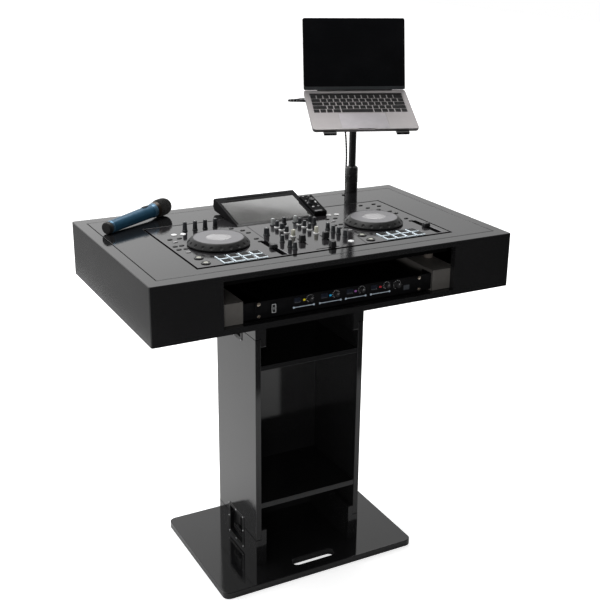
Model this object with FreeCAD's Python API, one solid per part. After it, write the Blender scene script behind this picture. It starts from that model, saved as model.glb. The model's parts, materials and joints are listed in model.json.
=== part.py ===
import FreeCAD, Part
import math
import os

# A mobile DJ booth: a base plate, a shelved column and a shallow table that takes a mixing console,
# a rack receiver, a laptop on a mast and a microphone. Millimetres, +Z up, the player stands at -Y.

V = FreeCAD.Vector
X_AXIS = V(1, 0, 0)
Y_AXIS = V(0, 1, 0)
Z_AXIS = V(0, 0, 1)
CONTACT_GAP = 0.3
CUT_MARGIN = 1.0

# Base plate with a carrying slot
BASE_X = (-299.5, 306.5)
BASE_Y = (-213.6, 219.0)
BASE_TOP = 19.0
BASE_CORNER = 20.0
BASE_EDGE = 2.0
SLOT_LENGTH = 137.0
SLOT_WIDTH = 33.0
SLOT_Y = -161.0

# Column of boards between the plinth on the base and the neck under the table
COLUMN_HALF = 165.5
COLUMN_Y = (-128.0, 130.0)
COLUMN_BOARD = 16.0
COLUMN_INNER = COLUMN_HALF - COLUMN_BOARD
PLINTH_SEAM = 100.0
NECK_SEAM = 711.0
TONGUE_THICK = 15.5
TONGUE_BACK = 105.0
LOWER_TONGUE_TOP = 131.0
UPPER_TONGUE_BOTTOM = 687.0
TONGUE_EDGE = 3.0
LOWER_SHELF_Z = (200.0, 216.0)
UPPER_SHELF_Z = (619.0, 632.5)
SHELF_SETBACK = 1.0

# Recessed butterfly latches across both seams of the column
LATCH_Y = 8.0
LATCH_WIDTH = 105.0
LATCH_MAIN = 72.0
LATCH_KEEPER = 33.0
LATCH_FLANGE = 1.5
LATCH_CORNER = 9.0
LATCH_BORDER = 8.5
LATCH_DEPTH = 13.0
LATCH_WALL = 1.4
LATCH_PIVOT = 34.0
LATCH_HALF_GAP = 0.5
HOOK_WIDTH = 14.0
HOOK_THICK = 2.6
HOOK_INSET = 8.0
HOOK_CLEARANCE = 1.5
WING_HALF = 26.0
WING_WIDTH = 13.0
WING_DEPTH = (3.0, 6.5)
WING_BOSS = 11.0
WING_BOSS_DEPTH = 4.0
WING_FOLD_DEPTH = (-0.5, 3.5)
WING_FOLD_THICK = 3.0

# Table box
TABLE_HALF = 512.7
TABLE_DEPTH_HALF = 308.0
TABLE_BOTTOM = 818.0
TABLE_TOP = 967.0
TABLE_BOARD = 18.0
TABLE_FLOOR = 833.0
TABLE_CORNER = 5.0
RIM_SIDE = 29.5
RIM_FRONT = 37.5
RIM_BOTTOM = 949.0
RIM_LEDGE = 14.5
RIM_EDGE = 1.5
INSERT_BOTTOM = 955.0
INSERT_GAP = 2.6
OPENING_HALF = 331.0
OPENING_TOP = 953.3
BEAM_X = (273.0, 348.0)
BEAM_TOP = 890.0
BEAM_BACK = 180.0

# Rack rails and the one-unit wireless receiver on them
RACK_FACE_Y = -286.0
RACK_CENTRE_Z = 860.1
RACK_HOLE_X = 232.55
RACK_HOLE_PITCH = 31.75
RACK_HOLE_R = 3.5
RACK_SCREW_R = 3.0
RACK_SCREW_HEAD = (4.4, 2.2)
RACK_SCREW_REACH = 9.0
RACK_WASHER = (5.6, 4.9, 1.0)
RACK_UNIT = 43.7
RAIL_INNER = 225.0
RAIL_THICK = 2.0
RAIL_DEPTH = 40.0
RECEIVER_FACE_HALF = 241.3
RECEIVER_FACE_THICK = 3.0
RECEIVER_HALF = 219.0
RECEIVER_DEPTH = 200.0
RECEIVER_WALL = 1.5
RECEIVER_CASE_DROP = 1.0
RECEIVER_BOARD_INSET = 14.0
RECEIVER_BOARD_LIFT = 8.0
CHANNEL_X = (-91.0, -17.0, 58.0, 133.0)
CHANNEL_Z = 869.5
CHANNEL_KNOB = (6.2, 11.0)
RECEIVER_DIAL = (165.0, 867.0)
RECEIVER_DIAL_KNOB = (7.5, 11.0)
RECEIVER_KNOB_TAPER = 0.86
POWER_CENTRE = (-192.0, 860.0)
POWER_SIZE = (13.0, 24.0)
POWER_RISE = 2.5
POWER_DEPTH = 5.0

# Console
CONSOLE_X = (-360.3, 368.7)
CONSOLE_Y = (-227.5, 144.5)
CONSOLE_GAP = 5.5
FASCIA_THICK = 6.0
FASCIA_CORNER = 3.0
CONSOLE_BOTTOM = 912.0
CASE_INSET = 4.0
CASE_WALL = 3.0
BOARD_INSET = 22.0
BOARD_LIFT = 10.0
BOARD_THICK = 1.6
POST_R = 4.0
POST_INSET = 9.0
FOOT_R = 13.0
FOOT_X = (-323.6, 332.0)
FOOT_Y = (-184.0, 105.0)
DECKS = {"left": (-236.0, -60.0), "right": (230.0, -60.0)}
JOG_RIM_R = 81.0
JOG_PLATE_R = 66.0
JOG_HEIGHT = 19.0
JOG_SPINDLE_R = 6.0
JOG_SPINDLE_DEPTH = 14.0
JOG_UNDERCUT = (4.0, 2.4)
JOG_BAND = 2.0
JOG_SHOULDER = (2.5, 1.6)
RUNNING_CLEARANCE = 0.05
TEMPO_AT = (111.0, -93.0)
TEMPO_SLOT = 118.0
TEMPO_CAP = (20.0, 15.0, 9.0)
FADER_X = (-33.0, 36.0)
FADER_Y = -135.0
FADER_SLOT = 60.0
FADER_CAP = (17.0, 13.0, 17.0)
CROSS_X = 0.0
CROSS_CAP_X = 14.0
CROSS_Y = -212.0
CROSS_SLOT = 66.0
CROSS_CAP = (15.0, 18.0, 16.0)
SLOT_HALF = 2.2
STEM_HALF = 1.5
STEM_REACH = 4.0
STEM_DEPTH = 11.0
CAP_CLEARANCE = 1.0
CAP_CHAMFER = 1.6
TRANSPORT_AT = {"cue": (-92.0, -91.0), "play": (-92.0, -136.0)}
TRANSPORT_R = 12.0
TRANSPORT_RISE = 2.5
TRANSPORT_DEPTH = 5.0
TRANSPORT_EDGE = 0.8
PAD_AT = (5.3, -129.5)
PAD_PITCH = (30.8, 32.5)
PAD_SIZE = (26.5, 28.5, 2.5)
PAD_CORNER = 2.5
DECK_BUTTONS = [(-74, 124), (-50, 120), (-99, 87), (-73, 87), (-95, 60), (-109, 24), (-91, 25),
                (-110, -5), (-91, -5), (-97, -36), (87, 115), (107, 86), (112, 60), (107, 0),
                (106, -26)]
HOT_BUTTONS = [(64, 178), (107, 176), (110, 150), (69, 146)]
BUTTON_R = 4.6
BUTTON_RISE = 1.6
KNOB_SKIRT = (1.0, 2.0)
KNOB_TAPER = 0.86
KNOB_CROWN = (0.74, 1.0)
MIXER_KNOB = (6.0, 19.0)
MIXER_KNOB_Y = (38.0, 12.0, -16.0, -46.0, -84.0)
SIDE_KNOBS = [(1, 36), (72, 20), (76, 2), (82, -64), (82, -94), (86, -116), (89, -146),
              (-82, -117), (-83, -163), (-81, -187)]
EFFECT_KNOB = (8.0, 20.0)
EFFECT_KNOB_AT = (-90.0, -41.0)
SEND_KNOB = (6.2, 25.0)
SEND_KNOBS_X = (-270.0, -241.0, -212.0, -183.0)
SEND_KNOBS_Y = 86.0
BROWSE_KNOB = (9.0, 13.0)
BROWSE_KNOB_AT = (129.0, 119.0)

# Console screen, a wedge behind the mixer that overhangs the table
SCREEN_X = (-126.0, 122.0)
SCREEN_FRONT_Y = 72.0
SCREEN_BACK_Y = 221.0
SCREEN_BACK_Z = 1009.5
SCREEN_LIP = 4.0
SCREEN_SLOPE = (SCREEN_BACK_Z - TABLE_TOP - SCREEN_LIP) / (SCREEN_BACK_Y - SCREEN_FRONT_Y)
SCREEN_BACK_OUTLINE = [(8, -4), (12, -26), (2, -36)]
SCREEN_UNDERSIDE = (10.0, 3.0)
GLASS_X = (-118.5, 106.0)
GLASS_MARGIN = (0.8, 30.0)
GLASS_THICK = 1.5
STRIP_X = (113.0, 152.0)
STRIP_Y = (67.0, 159.0)
STRIP_Z = (980.0, 1005.5)
STRIP_SLOPE = (STRIP_Z[1] - STRIP_Z[0]) / (STRIP_Y[1] - STRIP_Y[0])
STRIP_FRONT_EDGE = 1.5
STRIP_BACK_OUTLINE = [(4, -4), (2, -20)]

# Mast on the back rim, its socket let into the back panel
MAST = (359.5, 284.0)
TUBE_R = 18.0
SOCKET_R = 13.0
TUBE_BORE_R = 11.6
TUBE_BORE_FLOOR = 2.0
CLUTCH_Z = (995.5, 1046.0)
CLUTCH_R = 18.4
CLUTCH_FOOT = (0.6, 2.0)
CLUTCH_NOSE = [(0.0, 7.0), (1.5, 2.6), (5.0, 0.0)]
ROD_R = 11.0
ROD_Z = (893.0, 1275.0)

# Laptop and its tray, swivelled and tilted towards the player
LAPTOP_SIZE = (304.0, 212.0)
LAPTOP_YAW = -19.6
LAPTOP_TILT = 22.0
LAPTOP_FRONT = (268.95, 56.55, 1201.8)
LAPTOP_Z = (-6.0, 4.0)
LAPTOP_CORNER = 10.0
LAPTOP_EDGE = 2.5
LID_LENGTH = 206.0
LID_THICK = 4.6
LID_CORNER = 6.0
LID_GAP = 0.6
LID_ANGLE = 124.3
LID_AXIS = (208.0, 6.6)
BARREL_R = 2.2
BARREL_HALF = 112.0
TRAY_THICK = 3.0
TRAY_ARM_X = (86.0, 122.0)
TRAY_BACK = 215.0
TRAY_CROSS_FRONT = 150.0
TRAY_TAIL_X = (-22.0, 38.0)
TRAY_TAIL_BACK = 282.0
LIP_Y = (-11.0, -0.5)
LIP_TOP = -1.5
HUB_R = 16.5
HUB_Z = (1236.0, 1330.0)

# USB lead, from the laptop's left side to a clip on the rod, then down behind the table
LEAD_D = 5.4
PLUG_Y = 168.0
PLUG_Z = -1.0
PLUG_LENGTH = 25.0
PLUG_SIZE = (12.0, 5.5)
PLUG_EDGE = 2.0
CLIP_Z = (1191.0, 1201.0)
CLIP_RING_R = 14.5
CLIP_BLOCK_X = (13.0, 28.5)
CLIP_BLOCK_WIDTH = 10.0
LEAD_OFFSET = 24.0
LEAD_DROP_IN = 12.0
IMAGE_LEFT = V(-0.876, 0.482, 0)
AWAY = V(0.482, 0.876, 0)
# Points below are in the laptop's own frame, as X along its width, Y to its back, Z off its face.
LEAD_UPPER = [(-185.0, 168.0, -1.0), (-192.2, 170.8, -3.1), (-197.1, 175.8, -6.9), (-198.8, 182.1, -11.6),
              (-196.8, 188.3, -16.2), (-191.7, 193.2, -19.9), (-184.4, 195.8, -21.9), (-172.4, 196.5, -22.4),
              (-153.0, 198.0, -24.3), (-124.0, 203.5, -28.5), (-96.0, 210.0, -35.0), (-61.5, 220.9, -42.0),
              (-42.6, 229.4, -46.5), (-28.8, 236.9, -52.4), (-22.5, 239.8, -56.9), (-17.4, 240.7, -63.2),
              (-14.0, 239.5, -70.7)]
# Points below are offsets from the mast as (to its left, behind it, height), seen by the player.
LEAD_LOWER = [(24.0, 0.0, 1179.0), (23.6, 0.2, 1155.0), (20.6, 1.0, 1128.0), (18.8, 4.0, 1102.0),
              (17.8, 8.5, 1080.0), (17.4, 12.5, 1060.0), (18.0, 14.5, 1042.0), (18.4, 16.0, 1024.0),
              (18.4, 18.5, 1004.0), (18.2, 23.0, 984.0)]
# Points below run down behind the table and round into the back panel, clear of the mast's socket.
LEAD_TAIL = [(358.2, 317.8, 965.0), (361.0, 322.0, 947.0), (366.5, 325.5, 929.0), (374.0, 327.0, 914.0),
             (380.5, 327.0, 902.0), (384.0, 327.0, 891.2), (384.0, 324.9, 886.1), (384.0, 320.9, 882.1),
             (384.0, 315.8, 880.0)]
GROMMET_AT = (384.0, 880.0)
GROMMET_R = 7.5
GROMMET_NECK_R = 5.0
GROMMET_RISE = 3.0

# Microphone lying on the table
MIC_TAIL = (-468.0, 143.5)
MIC_HEAD = (-268.0, 259.0)
MIC_TAIL_R = 16.0
MIC_NECK_R = 18.5
MIC_RING_R = 20.0
MIC_HEAD_R = 24.5
MIC_NECK_AT = 186.0
MIC_NECK_FLARE = 6.0
MIC_RING_LENGTH = 8.0
MIC_TAIL_LENGTH = 18.0
MIC_TAIL_EDGE = 2.0
MIC_TAPER_START = (0.6, 24.0)
MIC_BASKET_FLARE = 12.0
MIC_DOME = [(0.0, 6.0), (3.0, 15.0), (10.0, 22.0)]
MIC_DOME_TOP = 24.0


def box(x, y, z):
    """A box between pairs of limits."""
    return Part.makeBox(x[1] - x[0], y[1] - y[0], z[1] - z[0], V(x[0], y[0], z[0]))


def span(side, inner, outer):
    """Limits on one side of the middle plane, side being -1 or 1."""
    return tuple(sorted((side * inner, side * outer)))


def around(centre, size):
    """Limits of the given size about a centre."""
    return (centre - size / 2, centre + size / 2)


def widened(limits, margin):
    """Limits moved apart by a margin at each end, or together where it is negative."""
    return (limits[0] - margin, limits[1] + margin)


def bar(radius, start, end):
    """A round bar between two points."""
    run = V(*end) - V(*start)
    return Part.makeCylinder(radius, run.Length, V(*start), run)


def edges_along(shape, axis):
    """Straight edges parallel to an axis."""
    return [e for e in shape.Edges if isinstance(e.Curve, Part.Line)
            and abs(abs(e.tangentAt(e.FirstParameter).dot(axis)) - 1) < 1e-6]


def edges_at(shape, height):
    """Edges that lie wholly at one height."""
    return [e for e in shape.Edges if abs(e.BoundBox.ZMin - height) < 1e-6
            and abs(e.BoundBox.ZMax - height) < 1e-6]


def turned(profile, x, y):
    """A solid of revolution from (radius, height) points, about a vertical axis."""
    points = [V(r, 0, z) for r, z in profile]
    face = Part.Face(Part.makePolygon(points + points[:1]))
    solid = face.revolve(V(0, 0, 0), Z_AXIS, 360)
    solid.translate(V(x, y, 0))
    return solid


def extruded_x(profile, x):
    """A solid from (y, z) points, run between two X limits."""
    points = [V(x[0], y, z) for y, z in profile]
    return Part.Face(Part.makePolygon(points + points[:1])).extrude(V(x[1] - x[0], 0, 0))


def save(name, *solids):
    """One file for each node, with one or more solids in it."""
    shape = solids[0] if len(solids) == 1 else Part.makeCompound(list(solids))
    for solid in shape.Solids:
        if not solid.isValid() or solid.Volume <= 0:
            print("bad solid in", name)
    shape.exportStep("parts/" + name + ".step")


def base_plate():
    plate = box(BASE_X, BASE_Y, (0, BASE_TOP))
    plate = plate.makeFillet(BASE_CORNER, edges_along(plate, Z_AXIS))
    end = (SLOT_LENGTH - SLOT_WIDTH) / 2
    slot = box((-end, end), around(SLOT_Y, SLOT_WIDTH), (0, BASE_TOP))
    for x in (-end, end):
        slot = slot.fuse(bar(SLOT_WIDTH / 2, (x, SLOT_Y, 0), (x, SLOT_Y, BASE_TOP)))
    plate = plate.cut(slot.removeSplitter())
    return plate.makeFillet(BASE_EDGE, edges_at(plate, BASE_TOP))


def latch_box(side, up, seam, y, v, depth):
    """A box in a latch's frame: v runs from the seam into the main dish, depth into the board."""
    x = span(side, COLUMN_HALF - depth[1], COLUMN_HALF - depth[0])
    z = tuple(sorted((seam + up * v[0], seam + up * v[1])))
    return box(x, (LATCH_Y + y[0], LATCH_Y + y[1]), z)


def latch_pocket(side, up, seam):
    half = LATCH_WIDTH / 2 - LATCH_BORDER + CONTACT_GAP
    v = (-LATCH_KEEPER + LATCH_BORDER - CONTACT_GAP, LATCH_MAIN - LATCH_BORDER + CONTACT_GAP)
    return latch_box(side, up, seam, (-half, half), v, (-CUT_MARGIN, LATCH_DEPTH + CONTACT_GAP))


def latch_dish(side, up, seam):
    """The two halves of the pressed dish and the hook that bridges them."""
    outer = LATCH_WIDTH / 2
    inner = outer - LATCH_BORDER
    well = inner - LATCH_WALL
    low = -LATCH_KEEPER
    flange = latch_box(side, up, seam, (-outer, outer), (low, LATCH_MAIN), (-LATCH_FLANGE, 0))
    flange = flange.makeFillet(LATCH_CORNER, edges_along(flange, X_AXIS))
    v = (low + LATCH_BORDER, LATCH_MAIN - LATCH_BORDER)
    pan = latch_box(side, up, seam, (-inner, inner), v, (0, LATCH_DEPTH))
    v = (v[0] + LATCH_WALL, v[1] - LATCH_WALL)
    floor = LATCH_DEPTH - LATCH_WALL
    above = -LATCH_FLANGE - CUT_MARGIN
    hollow = latch_box(side, up, seam, (-well, well), v, (above, floor))
    gap = (-LATCH_HALF_GAP, LATCH_HALF_GAP)
    seam_cut = latch_box(side, up, seam, (-outer, outer), gap, (above, LATCH_DEPTH + CUT_MARGIN))
    halves = flange.fuse(pan).removeSplitter().cut(hollow).cut(seam_cut).Solids
    hook_v = (v[0] + HOOK_INSET, LATCH_PIVOT - WING_BOSS - HOOK_CLEARANCE)
    hook = latch_box(side, up, seam, around(0, HOOK_WIDTH), hook_v, (floor - HOOK_THICK, floor))
    return halves + [hook]


def latch_wing(side, up, seam):
    """The butterfly grip, which turns on a boss in the dish."""
    floor = LATCH_DEPTH - LATCH_WALL
    z = seam + up * LATCH_PIVOT
    x_floor = side * (COLUMN_HALF - floor + CONTACT_GAP)
    x_top = side * (COLUMN_HALF - WING_BOSS_DEPTH)
    boss = bar(WING_BOSS, (x_floor, LATCH_Y, z), (x_top, LATCH_Y, z))
    x = span(side, COLUMN_HALF - WING_DEPTH[1], COLUMN_HALF - WING_DEPTH[0])
    straight = WING_HALF - WING_WIDTH / 2
    y = (LATCH_Y - straight, LATCH_Y + straight)
    wing = box(x, y, around(z, WING_WIDTH))
    for end in y:
        wing = wing.fuse(bar(WING_WIDTH / 2, (x[0], end, z), (x[1], end, z)))
    fold_x = span(side, COLUMN_HALF - WING_FOLD_DEPTH[1], COLUMN_HALF - WING_FOLD_DEPTH[0])
    fold = box(fold_x, y, around(z, WING_FOLD_THICK))
    return boss.fuse([wing, fold]).removeSplitter()


def upright(side, board_z, tongue_z, up, seam):
    """A short board flush with the column, with a tongue glued inside it."""
    board = box(span(side, COLUMN_INNER, COLUMN_HALF), COLUMN_Y, board_z)
    tongue = box(span(side, COLUMN_INNER - TONGUE_THICK, COLUMN_INNER), (COLUMN_Y[0], TONGUE_BACK), tongue_z)
    free = tongue_z[1] if tongue_z[1] < TABLE_BOTTOM else tongue_z[0]
    ends = [e for e in edges_along(tongue, X_AXIS) if abs(e.BoundBox.ZMin - free) < 1e-6]
    tongue = tongue.makeFillet(TONGUE_EDGE, ends)
    return board.fuse(tongue).removeSplitter().cut(latch_pocket(side, up, seam))


def column_side(side):
    panel = box(span(side, COLUMN_INNER, COLUMN_HALF), COLUMN_Y, (PLINTH_SEAM, NECK_SEAM))
    return panel.cut([latch_pocket(side, -1, PLINTH_SEAM), latch_pocket(side, 1, NECK_SEAM)])


def table_side(side):
    panel = box(span(side, TABLE_HALF - TABLE_BOARD, TABLE_HALF),
                (-TABLE_DEPTH_HALF, TABLE_DEPTH_HALF), (TABLE_BOTTOM, RIM_BOTTOM))
    outer = [e for e in edges_along(panel, Z_AXIS) if abs(abs(e.BoundBox.XMin) - TABLE_HALF) < 1e-6]
    return panel.makeFillet(TABLE_CORNER, outer)


def table_front():
    x = (-TABLE_HALF + TABLE_BOARD, TABLE_HALF - TABLE_BOARD)
    y = (-TABLE_DEPTH_HALF, -TABLE_DEPTH_HALF + TABLE_BOARD)
    panel = box(x, y, (TABLE_BOTTOM, RIM_BOTTOM))
    return panel.cut(box((-OPENING_HALF, OPENING_HALF), y, (TABLE_FLOOR, RIM_BOTTOM)))


def table_back():
    """The back panel, grooved for the mast's socket and bored for the lead."""
    x = TABLE_HALF - TABLE_BOARD
    y = (TABLE_DEPTH_HALF - TABLE_BOARD, TABLE_DEPTH_HALF)
    panel = box((-x, x), y, (TABLE_BOTTOM, RIM_BOTTOM))
    lead_x, lead_z = GROMMET_AT
    return panel.cut([socket(), bar(GROMMET_NECK_R, (lead_x, y[0], lead_z), (lead_x, y[1], lead_z))])


def rim():
    """The mitred top frame, with a ledge that carries the insert."""
    frame = box((-TABLE_HALF, TABLE_HALF), (-TABLE_DEPTH_HALF, TABLE_DEPTH_HALF), (RIM_BOTTOM, TABLE_TOP))
    frame = frame.makeFillet(TABLE_CORNER, edges_along(frame, Z_AXIS))
    frame = frame.makeChamfer(RIM_EDGE, edges_at(frame, TABLE_TOP))
    half = (TABLE_HALF - RIM_SIDE, TABLE_DEPTH_HALF - RIM_FRONT)
    seat = box((-half[0], half[0]), (-half[1], half[1]), (INSERT_BOTTOM, TABLE_TOP))
    half = (half[0] - RIM_LEDGE, half[1] - RIM_LEDGE)
    through = box((-half[0], half[0]), (-half[1], half[1]), (RIM_BOTTOM, INSERT_BOTTOM))
    board = (-TABLE_DEPTH_HALF, -TABLE_DEPTH_HALF + TABLE_BOARD)
    lip = box((-OPENING_HALF, OPENING_HALF), board, (RIM_BOTTOM, OPENING_TOP))
    return frame.cut([seat, through, lip, socket()])


def insert():
    """The drop-in top panel, cut out for the console."""
    half = (TABLE_HALF - RIM_SIDE - INSERT_GAP, TABLE_DEPTH_HALF - RIM_FRONT - INSERT_GAP)
    z = (INSERT_BOTTOM, TABLE_TOP)
    panel = box((-half[0], half[0]), (-half[1], half[1]), z)
    return panel.cut(box(widened(CONSOLE_X, CONSOLE_GAP), widened(CONSOLE_Y, CONSOLE_GAP), z))


def rack_rail(side):
    z = around(RACK_CENTRE_Z, RACK_UNIT)
    front = box(span(side, RAIL_INNER, BEAM_X[0]), (RACK_FACE_Y, RACK_FACE_Y + RAIL_THICK), z)
    flank = box(span(side, BEAM_X[0] - RAIL_THICK, BEAM_X[0]), (RACK_FACE_Y, RACK_FACE_Y + RAIL_DEPTH), z)
    holes = [rack_hole(side, row, RACK_SCREW_R) for row in (-1, 1)]
    return front.fuse(flank).removeSplitter().cut(holes)


def rack_hole(side, row, radius):
    """A round hole through the receiver's ear and the rail."""
    x, z = side * RACK_HOLE_X, RACK_CENTRE_Z + row * RACK_HOLE_PITCH / 2
    front = RACK_FACE_Y - RECEIVER_FACE_THICK - CUT_MARGIN
    return bar(radius, (x, front, z), (x, RACK_FACE_Y + RAIL_THICK + CUT_MARGIN, z))


def rack_screw(side, row):
    """A rack screw with its cup washer."""
    x, z = side * RACK_HOLE_X, RACK_CENTRE_Z + row * RACK_HOLE_PITCH / 2
    face = RACK_FACE_Y - RECEIVER_FACE_THICK
    head_r, head_length = RACK_SCREW_HEAD
    seat = face - RACK_WASHER[2] / 2
    shank = bar(RACK_SCREW_R, (x, seat, z), (x, RACK_FACE_Y + RACK_SCREW_REACH, z))
    head = bar(head_r, (x, seat - head_length, z), (x, seat, z))
    washer = Part.makeCone(*RACK_WASHER, V(x, face, z), -Y_AXIS)
    return shank.fuse([head, washer])


def receiver_case():
    """Face plate with rack ears, and the folded sheet case behind it."""
    z = around(RACK_CENTRE_Z, RACK_UNIT)
    face_y = (RACK_FACE_Y - RECEIVER_FACE_THICK, RACK_FACE_Y)
    face = box((-RECEIVER_FACE_HALF, RECEIVER_FACE_HALF), face_y, z)
    back = RACK_FACE_Y + RECEIVER_DEPTH
    wall = RECEIVER_WALL
    case_z = (z[0] + RECEIVER_CASE_DROP, z[1] - RECEIVER_CASE_DROP)
    shell = box((-RECEIVER_HALF, RECEIVER_HALF), (RACK_FACE_Y, back), case_z)
    room = box((-RECEIVER_HALF + wall, RECEIVER_HALF - wall), (RACK_FACE_Y, back - wall),
               (case_z[0] + wall, case_z[1] - wall))
    button = box(around(POWER_CENTRE[0], POWER_SIZE[0] + 2 * CONTACT_GAP), face_y,
                 around(POWER_CENTRE[1], POWER_SIZE[1] + 2 * CONTACT_GAP))
    holes = [rack_hole(side, row, RACK_HOLE_R) for side in (-1, 1) for row in (-1, 1)]
    return face.fuse(shell.cut(room)).removeSplitter().cut(holes + [button])


def receiver_knob(x, z, radius, length):
    face = RACK_FACE_Y - RECEIVER_FACE_THICK
    return Part.makeCone(radius, radius * RECEIVER_KNOB_TAPER, length, V(x, face, z), -Y_AXIS)


def power_button():
    face = RACK_FACE_Y - RECEIVER_FACE_THICK
    return box(around(POWER_CENTRE[0], POWER_SIZE[0]), (face - POWER_RISE, face + POWER_DEPTH),
               around(POWER_CENTRE[1], POWER_SIZE[1]))


def console_case():
    """A moulded tray, open at the top, under the fascia."""
    z = (CONSOLE_BOTTOM, TABLE_TOP - FASCIA_THICK)
    tray = box(widened(CONSOLE_X, -CASE_INSET), widened(CONSOLE_Y, -CASE_INSET), z)
    inset = CASE_INSET + CASE_WALL
    return tray.cut(box(widened(CONSOLE_X, -inset), widened(CONSOLE_Y, -inset), (z[0] + CASE_WALL, z[1])))


def circuit_board(x, y, floor, lift):
    """A board on four posts that stand on the floor of a case."""
    board = box(x, y, (floor + lift, floor + lift + BOARD_THICK))
    posts = [bar(POST_R, (px, py, floor), (px, py, floor + lift))
             for px in widened(x, -POST_INSET) for py in widened(y, -POST_INSET)]
    return board.fuse(posts)


def console_board():
    x, y = widened(CONSOLE_X, -BOARD_INSET), widened(CONSOLE_Y, -BOARD_INSET)
    return circuit_board(x, y, CONSOLE_BOTTOM + CASE_WALL, BOARD_LIFT)


def receiver_board():
    floor = RACK_CENTRE_Z - RACK_UNIT / 2 + RECEIVER_CASE_DROP + RECEIVER_WALL
    x = widened((-RECEIVER_HALF, RECEIVER_HALF), -RECEIVER_BOARD_INSET)
    y = widened((RACK_FACE_Y, RACK_FACE_Y + RECEIVER_DEPTH), -RECEIVER_BOARD_INSET)
    return circuit_board(x, y, floor, RECEIVER_BOARD_LIFT)


def fascia():
    """The top plate, with wells and slots for everything that moves."""
    z = (TABLE_TOP - FASCIA_THICK, TABLE_TOP)
    plate = box(CONSOLE_X, CONSOLE_Y, z)
    plate = plate.makeFillet(FASCIA_CORNER, edges_along(plate, Z_AXIS))
    wells = []
    for x, y in DECKS.values():
        wells.append(bar(JOG_SPINDLE_R + RUNNING_CLEARANCE, (x, y, z[0]), (x, y, z[1])))
        wells.append(box(around(x + TEMPO_AT[0], 2 * SLOT_HALF), around(y + TEMPO_AT[1], TEMPO_SLOT), z))
        for dx, dy in TRANSPORT_AT.values():
            wells.append(bar(TRANSPORT_R + CONTACT_GAP, (x + dx, y + dy, z[0]), (x + dx, y + dy, z[1])))
    for x in FADER_X:
        wells.append(box(around(x, 2 * SLOT_HALF), around(FADER_Y, FADER_SLOT), z))
    wells.append(box(around(CROSS_X, CROSS_SLOT), around(CROSS_Y, 2 * SLOT_HALF), z))
    return plate.cut(wells)


def jog_wheel(x, y):
    """A dished rim with a flat touch plate, on a spindle."""
    foot = TABLE_TOP - JOG_SPINDLE_DEPTH
    low = TABLE_TOP + CONTACT_GAP
    band = low + JOG_UNDERCUT[1]
    top = TABLE_TOP + JOG_HEIGHT
    profile = [(0, foot), (JOG_SPINDLE_R, foot), (JOG_SPINDLE_R, low),
               (JOG_RIM_R - JOG_UNDERCUT[0], low), (JOG_RIM_R, band), (JOG_RIM_R, band + JOG_BAND),
               (JOG_PLATE_R + JOG_SHOULDER[0], top - JOG_SHOULDER[1]), (JOG_PLATE_R, top), (0, top)]
    return turned(profile, x, y)


def slider_cap(x, y, size, along):
    """A bevelled cap on a stem that runs in a slot; along is the slot's axis."""
    low = TABLE_TOP + CAP_CLEARANCE
    cap = box(around(x, size[0]), around(y, size[1]), (low, low + size[2]))
    cap = cap.makeChamfer(CAP_CHAMFER, edges_at(cap, low + size[2]))
    half = (STEM_HALF, STEM_REACH) if along == "y" else (STEM_REACH, STEM_HALF)
    stem = box((x - half[0], x + half[0]), (y - half[1], y + half[1]), (TABLE_TOP - STEM_DEPTH, low))
    return cap.fuse(stem)


def transport_button(x, y):
    top = TABLE_TOP + TRANSPORT_RISE
    button = bar(TRANSPORT_R, (x, y, TABLE_TOP - TRANSPORT_DEPTH), (x, y, top))
    return button.makeFillet(TRANSPORT_EDGE, edges_at(button, top))


def pads():
    solids = []
    for x, y in DECKS.values():
        for column in range(4):
            for row in range(2):
                cx = x + PAD_AT[0] + (column - 1.5) * PAD_PITCH[0]
                cy = y + PAD_AT[1] + (row - 0.5) * PAD_PITCH[1]
                pad_z = (TABLE_TOP, TABLE_TOP + PAD_SIZE[2])
                pad = box(around(cx, PAD_SIZE[0]), around(cy, PAD_SIZE[1]), pad_z)
                solids.append(pad.makeFillet(PAD_CORNER, edges_along(pad, Z_AXIS)))
    return solids


def deck_buttons():
    solids = []
    for name, (x, y) in DECKS.items():
        places = DECK_BUTTONS + (HOT_BUTTONS if name == "right" else [])
        for dx, dy in places:
            foot = V(x + dx, y + dy, TABLE_TOP)
            solids.append(Part.makeCylinder(BUTTON_R, BUTTON_RISE, foot))
    return solids


def knob(x, y, size, z=TABLE_TOP):
    """A tapered knob on a short skirt; size is its radius and height."""
    radius, height = size
    skirt, skirt_top = radius + KNOB_SKIRT[0], z + KNOB_SKIRT[1]
    top = z + height
    profile = [(0, z), (skirt, z), (skirt, skirt_top), (radius, skirt_top + KNOB_SKIRT[0]),
               (radius * KNOB_TAPER, top - KNOB_CROWN[1]), (radius * KNOB_CROWN[0], top), (0, top)]
    return turned(profile, x, y)


def knobs():
    solids = [knob(x, y, MIXER_KNOB) for x in FADER_X for y in MIXER_KNOB_Y]
    solids += [knob(x, y, MIXER_KNOB) for x, y in SIDE_KNOBS]
    solids.append(knob(*EFFECT_KNOB_AT, EFFECT_KNOB))
    solids += [knob(x, SEND_KNOBS_Y, SEND_KNOB) for x in SEND_KNOBS_X]
    return solids


def screen_height(y):
    """Height of the tilted screen face above the floor at a given Y."""
    return TABLE_TOP + SCREEN_LIP + SCREEN_SLOPE * (y - SCREEN_FRONT_Y)


def strip_height(y):
    """Height of the control strip beside the screen, which stands proud of it."""
    return STRIP_Z[0] + STRIP_SLOPE * (y - STRIP_Y[0])


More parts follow.
